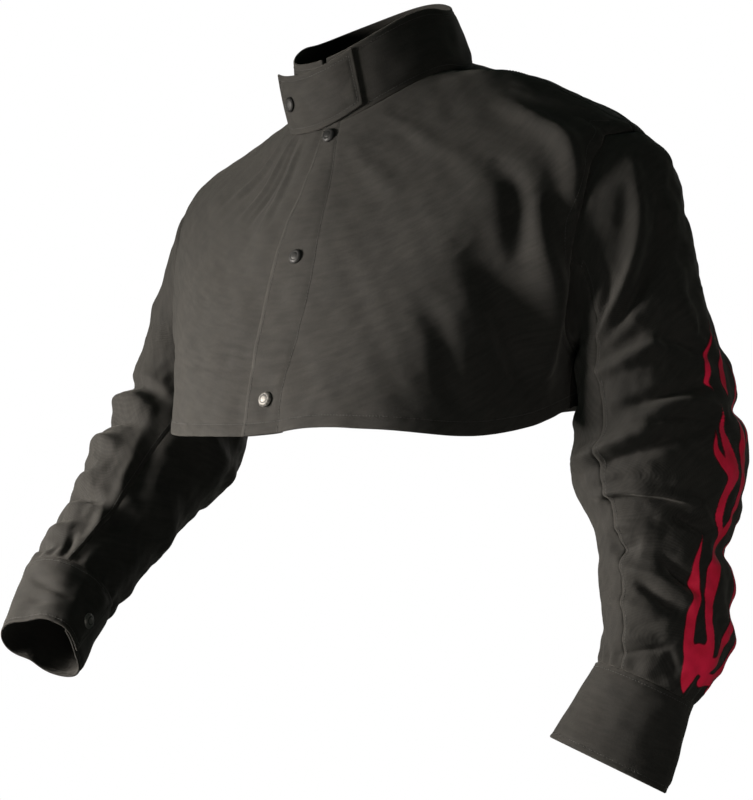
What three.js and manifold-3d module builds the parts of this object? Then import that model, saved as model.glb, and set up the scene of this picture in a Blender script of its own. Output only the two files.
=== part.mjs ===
// A welder's cape with sleeves: a cropped jacket of heavy flame-resistant cotton that covers the shoulders,
// upper chest and arms. It has a stand-up collar closed by a throat tab, an overlapping snap front and cuffs.
// Millimetres, +Z up. The wearer faces -Y, and +X is the wearer's left. The origin is the middle of the neck
// seam, where the cape sits on the shoulders.
import * as THREE from "three";
import Module from "manifold-3d";
import { mergeVertices } from "three/addons/utils/BufferGeometryUtils.js";

const wasm = await Module();
wasm.setup();

const { clamp, degToRad, euclideanModulo, lerp, radToDeg, smoothstep } = THREE.MathUtils;

// A table as objects: named columns, and a row for each ring, section or fold
function table(columns, rows) {
  const keys = columns.split(" ");
  return rows.map((row) => Object.fromEntries(keys.map((key, k) => [key, row[k]])));
}

// Cloth and seams
const CLOTH = 1.2; // one layer of heavy cotton
const DOUBLED = 2.2; // collar, tab and cuffs are sewn double
const SEAM_GAP = 0.3; // between two pieces that are sewn edge to edge
const CUFF_SEAM_GAP = 0.6; // between a sleeve and its cuff, whose walls taper
const LAYER_GAP = 0.7; // between two pieces that lie on each other
const SNAP_GAP = 0.5; // between a snap's flat foot and the round cloth

// Body: rings from the neck seam down to the hem. down is the nominal distance from the neck seam, wide the
// half width, middle the y of the ring's widest line, front and back its reach from there. zFront, zSide and
// zBack give the ring's height, lean raises the wearer's left side, and the last two are the exponents of its
// outline.
const RING = "name down wide middle front back zFront zSide zBack lean frontRound backRound";
const BODY_RINGS = table(RING, [
  ["neck seam", 0, 89, -6, 86, 91, -32, 6, 46, 13, 2, 2],
  ["yoke", 75, 158, 8, 127, 110, -88, -10, 16, 19, 1.5, 2],
  ["shoulder", 145, 236, 22, 170, 128, -143, -47, -46, 13, 1.6, 2.2],
  ["tip", 185, 264, 26, 192, 142, -188, -75, -114, 15, 1.7, 2.3],
  ["bust", 245, 246, 20, 205, 152, -238, -165, -190, 6, 2, 2.3],
  ["underarm", 315, 204, 12, 216, 158, -288, -262, -266, 4, 2.6, 2.3],
  ["hem", 370, 198, 8, 224, 158, -330, -312, -330, 4, 2.7, 2.3],
]);
const HEM_DOWN = 370;
const SIDE_SEAM = 90; // degrees from the front to the shoulder and side seam

// Waves of the hem: how far it rises at an angle, and the wave's half width in degrees
const HEM_WAVE_FROM = 270; // the waves grow from this distance down
const HEM_WAVES = table("around rise width", [
  [15, 5, 13],
  [58, -20, 20],
  [78, -8, 13],
  [-42, -3, 16],
  [150, 6, 16],
  [204, -6, 18],
]);

// Front closing: the left front laps over the right one
const LAP = 6.5; // degrees that each front passes the centre line
const UNDERLAP_DEPTH = CLOTH + LAYER_GAP; // how far the right front sinks below the left one
const UNDERLAP_RAMP = 7; // degrees over which it sinks
const UNDERLAP_CLEAR = 1; // degrees before the left front's free edge where it has sunk

// Sleeves: sections from the armhole to the cuff seam. x is measured outwards from the body's middle plane.
// swing is the section axis's angle below the horizontal and reach its angle towards the front. across is the
// half size from the outer to the inner side, deep the half size from front to back.
const SECTION = "name along x y z swing reach across deep";
const LEFT_SLEEVE = table(SECTION, [
  ["armhole", 0, 240, 26, -160, 17, 0, 108, 74],
  ["armhole top", 22, 251, 27.5, -171, 23, 0, 104, 73],
  ["sleeve head", 45, 258, 29, -194, 30, 0, 86, 72],
  ["crown", 75, 265, 30, -224, 50, 0, 67, 74],
  ["upper arm", 112, 267, 32, -260, 76, -2, 63, 80],
  ["above elbow", 168, 276, 37, -312, 86, -3, 70, 90],
  ["elbow", 230, 274, 40, -373, 87, 1, 78, 94],
  ["below elbow", 290, 279, 36, -429, 84, 8, 61, 74],
  ["forearm", 360, 287, 22, -493, 84, 14, 57, 68],
  ["above cuff", 410, 290, 8, -538, 97, 20, 55, 66],
  ["cuff seam", 450, 280, -8, -568, 107, 22, 48, 48],
]);
const RIGHT_SLEEVE = table(SECTION, [
  ["armhole", 0, 240, 22, -180, 13, 3, 99, 74],
  ["sleeve head", 45, 253, 22, -207, 30, 8, 78, 72],
  ["crown", 75, 261, 20, -232, 50, 14, 68, 74],
  ["upper arm", 115, 264, 8, -268, 74, 26, 60, 76],
  ["above elbow", 185, 260, -28, -331, 84, 40, 62, 80],
  ["elbow", 265, 254, -98, -380, 90, 47, 58, 64],
  ["forearm", 350, 246, -168, -439, 95, 51, 49, 52],
  ["cuff seam", 420, 238, -229, -481, 104, 52, 46, 48],
]);

const ARMHOLE_TUCK = 70; // how far a sleeve's form runs on into the body, to be cut off at its inner face
const ARMHOLE_PLUG = 160; // the stretch of a sleeve that cuts the body

// Cuffs: from the cuff seam to the free edge, in the same columns. A cuff is a band whose end laps over its
// start.
const LEFT_CUFF = table(SECTION, [
  ["cuff seam", 0, 280, -8, -568, 107, 22, 48, 48],
  ["free edge", 81, 256, -38, -640, 109.5, 21, 60, 44],
]);
const RIGHT_CUFF = table(SECTION, [
  ["cuff seam", 0, 238, -229, -481, 104, 52, 46, 48],
  ["free edge", 76, 217, -288, -524, 106, 52, 44, 40],
]);
// Waves of a cuff's free edge: how far it stands out at an angle, and the wave's half width in degrees
const LEFT_CUFF_WAVES = [];
const RIGHT_CUFF_WAVES = table("around rise width", [
  [100, -9, 32],
  [206, -7, 44],
  [258, 8, 24],
  [332, -13, 32],
]);
const CUFF_LAP_AT = 192; // degrees round the cuff to the middle of its lap
const CUFF_LAP = 40; // degrees that the cuff's end runs over its start
const CUFF_LAP_RAMP = 24; // degrees over which the end rises onto the start

// Folds: soft ridges along lines on a surface, or grooves where lift is negative. around is in degrees, along
// the distance down the body or the sleeve.
const FOLD = "fromAround fromAlong toAround toAlong width lift";
const BODY_FOLDS = table(FOLD, [
  [48, 180, 60, 320, 24, 8],
  [38, 215, 53, 345, 16, -7],
  [66, 130, 72, 250, 17, 6],
  [-12, 25, -36, 175, 15, 3],
  [-26, 20, -56, 150, 15, 3],
  [12, 30, 30, 150, 15, 2.5],
  [-64, 200, -56, 335, 20, 5],
  [150, 120, 138, 330, 26, 7],
  [180, 60, 178, 350, 28, -5],
  [206, 110, 222, 330, 26, 7],
  [118, 190, 127, 350, 20, 6],
  [243, 190, 233, 350, 20, 6],
]);
const LEFT_SLEEVE_FOLDS = table(FOLD, [
  [40, 30, 70, 90, 16, 7],
  [40, 66, 112, 110, 13, 6],
  [118, 134, 45, 124, 14, 8],
  [82, 160, 18, 176, 10, -8],
  [118, 232, 24, 188, 15, 9],
  [110, 268, 62, 256, 13, 7],
  [62, 256, 28, 290, 13, 7],
  [112, 300, 65, 322, 12, -8],
  [62, 318, 30, 372, 11, -8],
  [105, 334, 50, 374, 14, 6],
  [125, 438, 58, 398, 14, 7],
  [-20, 134, -80, 155, 17, 4],
  [-25, 205, -105, 226, 16, 5],
  [-20, 268, -95, 290, 15, 8],
  [-20, 340, -110, 350, 16, 6],
  [-15, 386, -90, 402, 15, 7],
  [138, 176, 215, 188, 17, 7],
  [150, 250, 230, 264, 17, 8],
  [160, 345, 235, 350, 16, 7],
]);
const RIGHT_SLEEVE_FOLDS = table(FOLD, [
  [35, 196, 105, 208, 14, 11],
  [36, 232, 110, 234, 11, -10],
  [35, 248, 102, 260, 16, 10],
  [48, 290, 112, 312, 12, -8],
  [55, 332, 122, 338, 16, 7],
  [48, 384, 122, 396, 11, -6],
  [-30, 144, -85, 160, 16, 6],
  [-20, 230, -100, 242, 16, 7],
  [-5, 310, -105, 320, 15, 7],
  [-10, 372, -90, 380, 13, 5],
  [150, 200, 205, 214, 17, 9],
  [150, 300, 232, 312, 16, 7],
]);
const BODY_MM_PER_DEGREE = 3.4;
const SLEEVE_MM_PER_DEGREE = 1.2;
const FOLD_VALLEY = 0.7; // how strongly a fold is flanked by the opposite of itself
const FOLD_END = 0.15; // share of its height that a fold keeps at its ends
const NECK_FADE = 25; // folds die out within this distance of the neck seam
const ARMHOLE_FADE = 30; // of the armhole
const CUFF_FADE = 26; // and of the cuff seam

// Collar: rings from the neck seam up, with the body rings' columns
const COLLAR_RINGS = table(RING.replace("down", "up"), [
  ["neck seam", 0, 89, -6, 86, 91, -32, 6, 46, 13, 2, 2],
  ["top edge", 62, 79, -21, 83, 76, 28, 63, 97, 14, 2, 2],
]);

// Waves of the collar's top edge, in the hem waves' columns
const COLLAR_WAVES = table("around rise width", [
  [246, 14, 42],
  [310, -4, 24],
]);
const COLLAR_TOP = 62;
const COLLAR_SEAT = 0.4; // the collar's height above the neck seam
const COLLAR_END = 2; // degrees between the collar's front ends and the centre line

// Throat tab: a doubled strap over the collar's front ends, by its corners. up is a corner's height in the
// collar's rings, standOff its gap to the collar.
const TAB_CORNERS = table("name around up standOff", [
  ["free bottom", -34, -10, 7],
  ["free top", -58, 46, 15],
  ["sewn bottom", 22, 6, 0.6],
  ["sewn top", 22, 60, 0.6],
]);
const TAB_CURL = 3; // exponent of how late the free end bends away
const TAB_FLARE = 2; // exponent of how late its free edge flares towards the top

// Snaps: domed caps, by the distance down the front, and by their place on the tab
const SNAP = { radius: 7.5, rim: 1.1, shoulder: 6, shoulderRise: 2.5, crown: 3.4, rise: 3.2, sides: 12 };
const FRONT_SNAPS = [17, 163, 328];
const TAB_SNAP = { share: 0.16, height: 0.5 };
const CUFF_SNAP_HEIGHT = 0.62; // share of the cuff's length
const BODY_STEP = [1, -1]; // small steps round and up the body, to find its outward direction
const TAB_STEP = [0.01, 0.01]; // and round and up the tab

// Mesh steps
const FRONT_STEPS = 14;
const BACK_STEPS = 28;
const BODY_ROWS = 11;
const SLEEVE_SIDES = 26;
const SLEEVE_ROWS = 25;
const CUFF_SIDES = 26;
const CUFF_ROWS = 2;
const COLLAR_ROWS = 2;
const TAB_COLUMNS = 12;
const TAB_ROWS = 3;

// Evenly spaced numbers from one value to another
const steps = (from, to, count) => Array.from({ length: count + 1 }, (_, k) => lerp(from, to, k / count));

// A row of a table at a place along one of its columns, each column being a smooth curve through its rows
function rowAt(rows, key, place) {
  let i = 0;
  while (i < rows.length - 2 && place > rows[i + 1][key]) i++;
  const [a, b] = [rows[i], rows[i + 1]];
  const span = b[key] - a[key];
  const t = (place - a[key]) / span;
  const slope = (k, column) => {
    const before = rows[Math.max(k - 1, 0)];
    const after = rows[Math.min(k + 1, rows.length - 1)];
    return (after[column] - before[column]) / (after[key] - before[key]);
  };
  const row = {};
  for (const column of Object.keys(a)) {
    if (column === "name") continue;
    const [ma, mb] = [slope(i, column) * span, slope(i + 1, column) * span];
    const [t2, t3] = [t * t, t * t * t];
    const ends = a[column] * (2 * t3 - 3 * t2 + 1) + b[column] * (3 * t2 - 2 * t3);
    row[column] = ends + ma * (t3 - 2 * t2 + t) + mb * (t3 - t2);
  }
  return row;
}

// How far the folds lift a surface at a place
function foldLift(folds, around, along, mmPerDegree) {
  let lift = 0;
  for (const fold of folds) {
    const turn = euclideanModulo(around - fold.fromAround + 180, 360) - 180;
    const [px, py] = [turn * mmPerDegree, along - fold.fromAlong];
    const [dx, dy] = [(fold.toAround - fold.fromAround) * mmPerDegree, fold.toAlong - fold.fromAlong];
    const t = clamp((px * dx + py * dy) / (dx * dx + dy * dy), 0, 1);
    const distance = Math.hypot(px - dx * t, py - dy * t) / fold.width;
    const height = FOLD_END + (1 - FOLD_END) * Math.sin(Math.PI * t);
    lift += fold.lift * height * (1 - FOLD_VALLEY * distance ** 2) * Math.exp(-(distance ** 2));
  }
  return lift;
}

// A point of a ring, at an angle from the front towards the wearer's left
function ringPoint(ring, degrees) {
  const [s, c] = [Math.sin(degToRad(degrees)), Math.cos(degToRad(degrees))];
  const isFront = c > 0;
  const reach = isFront ? ring.front : ring.back;
  const endZ = isFront ? ring.zFront : ring.zBack;
  const round = isFront ? ring.frontRound : ring.backRound;
  const q = (Math.abs(s) ** round + Math.abs(c) ** round) ** (-1 / round);
  const z = ring.zSide + (endZ - ring.zSide) * c * c + ring.lean * s;
  return new THREE.Vector3(ring.wide * q * s, ring.middle - reach * q * c, z);
}

// How far an edge's waves rise at an angle
function waveRise(waves, degrees) {
  let rise = 0;
  for (const wave of waves) {
    const turn = euclideanModulo(degrees - wave.around + 180, 360) - 180;
    rise += wave.rise * Math.exp(-((turn / wave.width) ** 2));
  }
  return rise;
}

// The body before folding: its rings with the hem's waves
function bodyForm(degrees, down) {
  const point = ringPoint(rowAt(BODY_RINGS, "down", down), degrees);
  point.z += waveRise(HEM_WAVES, degrees) * smoothstep(down, HEM_WAVE_FROM, HEM_DOWN);
  return point;
}

// The body's outward direction, from neighbouring points of its form
function bodyNormal(degrees, down) {
  const step = 1;
  const [high, low] = [Math.max(down - step, 0), Math.min(down + step, HEM_DOWN)];
  const round = bodyForm(degrees + step, down).sub(bodyForm(degrees - step, down));
  const rise = bodyForm(degrees, high).sub(bodyForm(degrees, low));
  return round.cross(rise).normalize();
}

// A point of the folded body, sunk below its outer face
function bodyPoint(degrees, down, sunk = 0) {
  const fade = smoothstep(down, 0, NECK_FADE);
  const lift = foldLift(BODY_FOLDS, degrees, down, BODY_MM_PER_DEGREE) * fade;
  return bodyForm(degrees, down).addScaledVector(bodyNormal(degrees, down), lift - sunk);
}

function collarPoint(degrees, up) {
  const point = ringPoint(rowAt(COLLAR_RINGS, "up", up), degrees);
  point.z += COLLAR_SEAT + waveRise(COLLAR_WAVES, degrees) * smoothstep(up, 0, COLLAR_TOP);
  return point;
}

// A sleeve section's middle and its out, front and axis directions, on the left side
function sectionFrame(row) {
  const [swing, reach] = [degToRad(row.swing), degToRad(row.reach)];
  const level = Math.cos(reach);
  const axis = new THREE.Vector3(level * Math.cos(swing), -Math.sin(reach), -level * Math.sin(swing));
  const front = new THREE.Vector3(0, -1, 0).addScaledVector(axis, axis.y).normalize();
  const out = new THREE.Vector3().crossVectors(front, axis);
  return { middle: new THREE.Vector3(row.x, row.y, row.z), axis, front, out };
}

// A point of a sleeve or cuff: 0 degrees is its outer side, 90 its front, 180 its inner side. Before its
// first section it runs straight on.
function sectionPoint(rows, degrees, along, grow) {
  const row = rowAt(rows, "along", Math.max(along, 0));
  const { middle, axis, front, out } = sectionFrame(row);
  return middle
    .addScaledVector(axis, Math.min(along, 0))
    .addScaledVector(out, (row.across + grow) * Math.cos(degToRad(degrees)))
    .addScaledVector(front, (row.deep + grow) * Math.sin(degToRad(degrees)));
}

function sleevePoint({ rows, folds }, degrees, along, grow = 0) {
  const length = rows[rows.length - 1].along;
  const fade = smoothstep(along, 0, ARMHOLE_FADE) * smoothstep(length - along, 0, CUFF_FADE);
  const lift = foldLift(folds, degrees, along, SLEEVE_MM_PER_DEGREE) * fade;
  return sectionPoint(rows, degrees, along, grow + lift);
}

// A closed wall of cloth: a grid of points on its outer face, and the same grid one thickness further in,
// against the outward direction that is given or that the grid has. The grid's columns run anticlockwise seen
// from outside along its rows, and a tube's columns close up.
function wall(point, us, vs, thickness, { isTube = false, outward = null } = {}) {
  const [across, rows] = [us.length, vs.length - 1];
  const columns = isTube ? across : across - 1;
  const outer = vs.flatMap((v) => us.map((u) => point(u, v)));
  const at = (i, j) => {
    const column = isTube ? (i + across) % across : clamp(i, 0, columns);
    return j * across + column;
  };
  const inner = outer.map((p, k) => {
    const [i, j] = [k % across, Math.floor(k / across)];
    const alongRow = outer[at(i + 1, j)].clone().sub(outer[at(i - 1, j)]);
    const alongColumn = outer[at(i, Math.min(j + 1, rows))].clone().sub(outer[at(i, Math.max(j - 1, 0))]);
    const direction = outward ? outward(us[i], vs[j]) : alongRow.cross(alongColumn).normalize();
    return p.clone().addScaledVector(direction, -thickness);
  });
  const shift = outer.length;
  const triangles = [];
  const quad = (a, b, c, d) => triangles.push(a, b, c, a, c, d);
  for (let j = 0; j < rows; j++) {
    for (let i = 0; i < columns; i++) {
      const [a, b, c, d] = [at(i, j), at(i + 1, j), at(i + 1, j + 1), at(i, j + 1)];
      quad(a, b, c, d);
      quad(d + shift, c + shift, b + shift, a + shift);
    }
  }
  for (let i = 0; i < columns; i++) {
    quad(at(i, 0) + shift, at(i + 1, 0) + shift, at(i + 1, 0), at(i, 0));
    quad(at(i, rows), at(i + 1, rows), at(i + 1, rows) + shift, at(i, rows) + shift);
  }
  for (let j = 0; j < rows && !isTube; j++) {
    quad(at(0, j), at(0, j + 1), at(0, j + 1) + shift, at(0, j) + shift);
    quad(at(columns, j) + shift, at(columns, j + 1) + shift, at(columns, j + 1), at(columns, j));
  }
  const geometry = new THREE.BufferGeometry().setFromPoints([...outer, ...inner]);
  geometry.setIndex(triangles);
  return geometry;
}

// The wearer's right copy of a left-hand geometry
function mirrored(geometry) {
  geometry.scale(-1, 1, 1);
  const index = geometry.index.array;
  for (let i = 0; i < index.length; i += 3) [index[i + 1], index[i + 2]] = [index[i + 2], index[i + 1]];
  return geometry;
}

// A geometry as a solid for cutting, and back
function solid(geometry) {
  const bare = new THREE.BufferGeometry().setAttribute("position", geometry.getAttribute("position"));
  bare.setIndex(geometry.index);
  const merged = mergeVertices(bare, 1e-4);
  return new wasm.Manifold(
    new wasm.Mesh({
      numProp: 3,
      vertProperties: merged.getAttribute("position").array,
      triVerts: new Uint32Array(merged.index.array),
    }),
  );
}

function geometryOf(manifold) {
  const mesh = manifold.getMesh();
  const geometry = new THREE.BufferGeometry();
  geometry.setAttribute("position", new THREE.BufferAttribute(mesh.vertProperties, 3));
  geometry.setIndex(new THREE.BufferAttribute(mesh.triVerts, 1));
  return geometry;
}

// Angles of the panels' columns. Both fronts share the columns of the lap, so that they lie parallel there.
const leftAround = [-LAP, 0, ...steps(LAP, SIDE_SEAM, FRONT_STEPS)];
const sunkAround = [-LAP - UNDERLAP_CLEAR, -LAP, 0, LAP];
const rightAround = [...steps(-SIDE_SEAM, -LAP - UNDERLAP_RAMP, FRONT_STEPS), ...sunkAround];
const backAround = steps(SIDE_SEAM, 360 - SIDE_SEAM, BACK_STEPS);
const bodyDown = steps(HEM_DOWN, 0, BODY_ROWS);

// A body panel; sunk gives how far it lies below the body's surface at an angle
function bodyPanel(around, sunk = () => 0) {
  const [from, to] = [around[0], around[around.length - 1]];
  const point = (degrees, down) => {
    const half = radToDeg(SEAM_GAP / 2 / rowAt(BODY_RINGS, "down", down).wide);
    return bodyPoint(clamp(degrees, from + half, to - half), down, sunk(degrees));
  };
  return wall(point, around, bodyDown, CLOTH, { outward: bodyNormal });
}

// The right front sinks under the left one from a little before the left one's free edge
function underlap(degrees) {
  return UNDERLAP_DEPTH * smoothstep(degrees, -LAP - UNDERLAP_RAMP, -LAP - UNDERLAP_CLEAR);
}

const sleeveAround = steps(0, 360, SLEEVE_SIDES).slice(0, SLEEVE_SIDES);
const sleeveAlong = (rows) => [-ARMHOLE_TUCK, ...steps(0, rows[rows.length - 1].along, SLEEVE_ROWS)];

// A closed solid of rings that share their number of points, run anticlockwise seen from its far end
function ringSolid(rings) {
  const [sides, last] = [rings[0].length, rings.length - 1];
  const sum = (ring) => ring.reduce((total, point) => total.add(point), new THREE.Vector3());
  const middle = (ring) => sum(ring).divideScalar(sides);
  const points = [...rings.flat(), middle(rings[0]), middle(rings[last])];
  const [nearMiddle, farMiddle] = [points.length - 2, points.length - 1];
  const triangles = [];
  for (let i = 0; i < sides; i++) {
    const next = (i + 1) % sides;
    for (let k = 0; k < last * sides; k += sides) {
      triangles.push(i + k, next + k, next + k + sides, i + k, next + k + sides, i + k + sides);
    }
    triangles.push(nearMiddle, next, i, farMiddle, i + last * sides, next + last * sides);
  }
  return solid(new THREE.BufferGeometry().setFromPoints(points).setIndex(triangles));
}

// The hollow inside the body, up to its inner face
function bodyCore() {
  const right = rightAround.slice(1).filter((degrees) => degrees < 0);
  const around = [...leftAround.slice(1), ...backAround.slice(1), ...right];
  return ringSolid(bodyDown.map((down) => around.map((degrees) => bodyPoint(degrees, down, CLOTH))));
}

// A sleeve's tube, run on into the body, and the plug of its outer face, a seam's gap larger
function sleeveTube(form) {
  const point = (degrees, along) => sleevePoint(form, degrees, along);
  return solid(wall(point, sleeveAround, sleeveAlong(form.rows), CLOTH, { isTube: true }));
}

function armholePlug(form) {
  const upper = sleeveAlong(form.rows).filter((along) => along < ARMHOLE_PLUG);
  return ringSolid(
    upper.map((along) => sleeveAround.map((degrees) => sleevePoint(form, degrees, along, SEAM_GAP))),
  );
}

const cuffLength = (rows) => rows[rows.length - 1].along;

// A point of a cuff band, whose angle runs on past a full turn where its end lies over its start
function cuffPoint({ rows, waves }, degrees, along) {
  const closed = CUFF_LAP_AT - CUFF_LAP / 2 + 360;
  const lapped = (DOUBLED + LAYER_GAP) * smoothstep(degrees, closed - CUFF_LAP_RAMP, closed);
  const waved = waveRise(waves, degrees) * smoothstep(along, 0, cuffLength(rows));
  return sectionPoint(rows, degrees, along, lapped + waved);
}

function cuff(form) {
  const start = CUFF_LAP_AT - CUFF_LAP / 2;
  const around = steps(start, start + 360 + CUFF_LAP, CUFF_SIDES);
  const along = steps(CUFF_SEAM_GAP, cuffLength(form.rows), CUFF_ROWS);
  return wall((degrees, place) => cuffPoint(form, degrees, place), around, along, DOUBLED);
}

function collar() {
  const left = leftAround.filter((degrees) => degrees > COLLAR_END);
  const right = rightAround.filter((degrees) => degrees < -COLLAR_END).map((degrees) => degrees + 360);
  const around = [COLLAR_END, ...left, ...backAround.slice(1), ...right.slice(1), 360 - COLLAR_END];
  return wall(collarPoint, around, steps(0, COLLAR_TOP, COLLAR_ROWS), DOUBLED);
}

// A point of the tab's outer face: share runs from its free end to its sewn one, height from its bottom to
// its top
function tabPoint(share, height) {
  const [freeBottom, freeTop, sewnBottom, sewnTop] = TAB_CORNERS;
  const free = (column) => lerp(freeBottom[column], freeTop[column], height);
  const sewn = (column) => lerp(sewnBottom[column], sewnTop[column], height);
  const place = (column) => lerp(free(column), sewn(column), share);
  const freeStandOff = lerp(freeBottom.standOff, freeTop.standOff, height ** TAB_FLARE);
  const standOff = lerp(sewn("standOff"), freeStandOff, (1 - share) ** TAB_CURL);
  const point = collarPoint(place("around"), place("up"));
  const outward = new THREE.Vector3(point.x, point.y, 0).normalize();
  return point.addScaledVector(outward, standOff + DOUBLED);
}

const throatTab = () => wall(tabPoint, steps(0, 1, TAB_COLUMNS), steps(0, 1, TAB_ROWS), DOUBLED);

// A domed snap cap, standing on z = 0
function snapCap() {
  const { radius, rim, shoulder, shoulderRise, crown, rise, sides } = SNAP;
  const profile = [
    new THREE.Vector2(0, 0),
    new THREE.Vector2(radius, 0),
    new THREE.Vector2(radius, rim),
    new THREE.Vector2(shoulder, shoulderRise),
    new THREE.Vector2(crown, rise),
    new THREE.Vector2(0, rise),
  ];
  return new THREE.LatheGeometry(profile, sides).rotateX(Math.PI / 2);
}

// Assembly
const cloth = new THREE.MeshStandardMaterial({ color: 0x24231f, roughness: 0.92, metalness: 0 });
const snapMetal = new THREE.MeshStandardMaterial({ color: 0x1b1b1a, roughness: 0.35, metalness: 0.9 });
const part = new THREE.Group();

function add(name, geometry, material = cloth) {
  const mesh = new THREE.Mesh(geometry, material);
  mesh.name = name;
  part.add(mesh);
  return mesh;
}

// A snap on a surface at a place of its chart, standing along the outward direction that small steps round
// and up the surface give
function addSnap(name, surface, [u, v], [stepRound, stepUp]) {
  const point = surface(u, v);
  const round = surface(u + stepRound, v).sub(point);
  const rise = surface(u, v + stepUp).sub(point);
  const outward = round.cross(rise).normalize();
  const snap = add(name, snapCap(), snapMetal);
  snap.quaternion.setFromUnitVectors(new THREE.Vector3(0, 0, 1), outward);
  snap.position.copy(point).addScaledVector(outward, SNAP_GAP);
}

const leftSleeve = { rows: LEFT_SLEEVE, folds: LEFT_SLEEVE_FOLDS };
const rightSleeve = { rows: RIGHT_SLEEVE, folds: RIGHT_SLEEVE_FOLDS };
const toRight = [-1, 1, 1];
const core = bodyCore();
const leftPlug = armholePlug(leftSleeve);
const rightPlug = armholePlug(rightSleeve).scale(toRight);
add("front_left", geometryOf(solid(bodyPanel(leftAround)).subtract(leftPlug)));
add("front_right", geometryOf(solid(bodyPanel(rightAround, underlap)).subtract(rightPlug)));
add("back", geometryOf(solid(bodyPanel(backAround)).subtract(leftPlug).subtract(rightPlug)));
add("sleeve_left", geometryOf(sleeveTube(leftSleeve).subtract(core)));
add("sleeve_right", geometryOf(sleeveTube(rightSleeve).scale(toRight).subtract(core)));

const leftCuff = { rows: LEFT_CUFF, waves: LEFT_CUFF_WAVES };
const rightCuff = { rows: RIGHT_CUFF, waves: RIGHT_CUFF_WAVES };
add("cuff_left", cuff(leftCuff));
add("cuff_right", mirrored(cuff(rightCuff)));
add("collar", collar());
add("collar_tab", throatTab());

FRONT_SNAPS.forEach((down, k) => {
  addSnap(`snap_front_${k + 1}`, bodyPoint, [0, down], BODY_STEP);
});
addSnap("snap_collar", tabPoint, [TAB_SNAP.share, TAB_SNAP.height], TAB_STEP);
for (const [name, form, side] of [
  ["snap_cuff_left", leftCuff, 1],
  ["snap_cuff_right", rightCuff, -1],
]) {
  const along = cuffLength(form.rows) * CUFF_SNAP_HEIGHT;
  const surface = (degrees, place) => cuffPoint(form, degrees, place).multiply(new THREE.Vector3(side, 1, 1));
  addSnap(name, surface, [CUFF_LAP_AT + 360, along], [side, 1]);
}

export default part;
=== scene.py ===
"""A welder's cape with sleeves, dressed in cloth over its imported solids.

The tables of sizes are in millimetres, as the solids' are, and the meshes in metres.
+Z is up, the wearer faces -Y and +X is the wearer's left.
The origin is the middle of the neck seam.
"""

import logging
import math
from dataclasses import dataclass, field
from enum import Enum
from typing import Any, Callable, Iterable, Sequence

import bpy
import numpy as np
from mathutils import Matrix, Vector
from mathutils.bvhtree import BVHTree
from mathutils.kdtree import KDTree


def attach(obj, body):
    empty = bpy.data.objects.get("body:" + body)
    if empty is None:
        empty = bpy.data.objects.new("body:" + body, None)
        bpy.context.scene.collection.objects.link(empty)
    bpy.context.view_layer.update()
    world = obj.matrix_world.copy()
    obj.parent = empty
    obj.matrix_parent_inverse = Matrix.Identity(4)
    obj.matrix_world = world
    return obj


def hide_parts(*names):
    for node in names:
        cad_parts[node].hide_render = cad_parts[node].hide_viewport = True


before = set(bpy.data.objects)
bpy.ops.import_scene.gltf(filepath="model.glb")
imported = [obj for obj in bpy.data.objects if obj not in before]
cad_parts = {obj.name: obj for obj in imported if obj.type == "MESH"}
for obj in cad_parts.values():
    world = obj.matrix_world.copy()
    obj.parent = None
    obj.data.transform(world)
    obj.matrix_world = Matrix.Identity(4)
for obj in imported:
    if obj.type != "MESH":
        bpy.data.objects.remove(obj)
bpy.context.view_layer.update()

log = logging.getLogger("cape")
Array = np.ndarray
Colour = tuple[float, float, float]
Place = tuple[float, float, float]
Triples = tuple[tuple[float, float, float], ...]
MM = 0.001
TAU = 2 * math.pi

# Cloth and seams
CLOTH = 1.2
DOUBLED = 2.2
SEAM_GAP = 0.3
CUFF_SEAM_GAP = 0.6
LAYER_GAP = 0.7
SNAP_GAP = 0.5
CELL = 2.6
FINE_CELL = 2.0
TAB_CELL = 1.6
FAR = 99.0
TWILL_RIB = 1.15
TWILL_SLANT = 0.62

# Widths of a degree on the charts
BODY_DEGREE = 3.4
SLEEVE_DEGREE = 1.2
CUFF_DEGREE = 0.85
COLLAR_DEGREE = 1.45


class Side(Enum):
    """A side of the wearer, as the sign of x."""

    LEFT = 1
    RIGHT = -1


class Hold(Enum):
    """How a piece of cloth is held."""

    HUNG = "hung"
    STRETCHED = "stretched"


def smoothstep(value: Array, low: float, high: float) -> Array:
    """A smooth rise from 0 at low to 1 at high."""
    t = np.clip((value - low) / (high - low), 0, 1)
    return t * t * (3 - 2 * t)


def bell(value: Array, middle: float, width: float) -> Array:
    """A bump of height 1 round a middle, that has fallen to 1/e at its width."""
    return np.exp(-(((value - middle) / width) ** 2))


def turned(degrees: Array, start: float) -> Array:
    """Degrees brought within half a turn of a start, counted from it."""
    return (degrees - start + 180) % 360 - 180


def unit(vectors: Array) -> Array:
    """Vectors scaled to length 1."""
    return vectors / np.maximum(np.linalg.norm(vectors, axis=-1, keepdims=True), 1e-12)


def spaced(low: float, high: float, length: float, cell: float) -> Array:
    """Numbers from low to high, as many as a length in cells needs."""
    return np.linspace(low, high, max(2, round(length / cell)) + 1)


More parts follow.
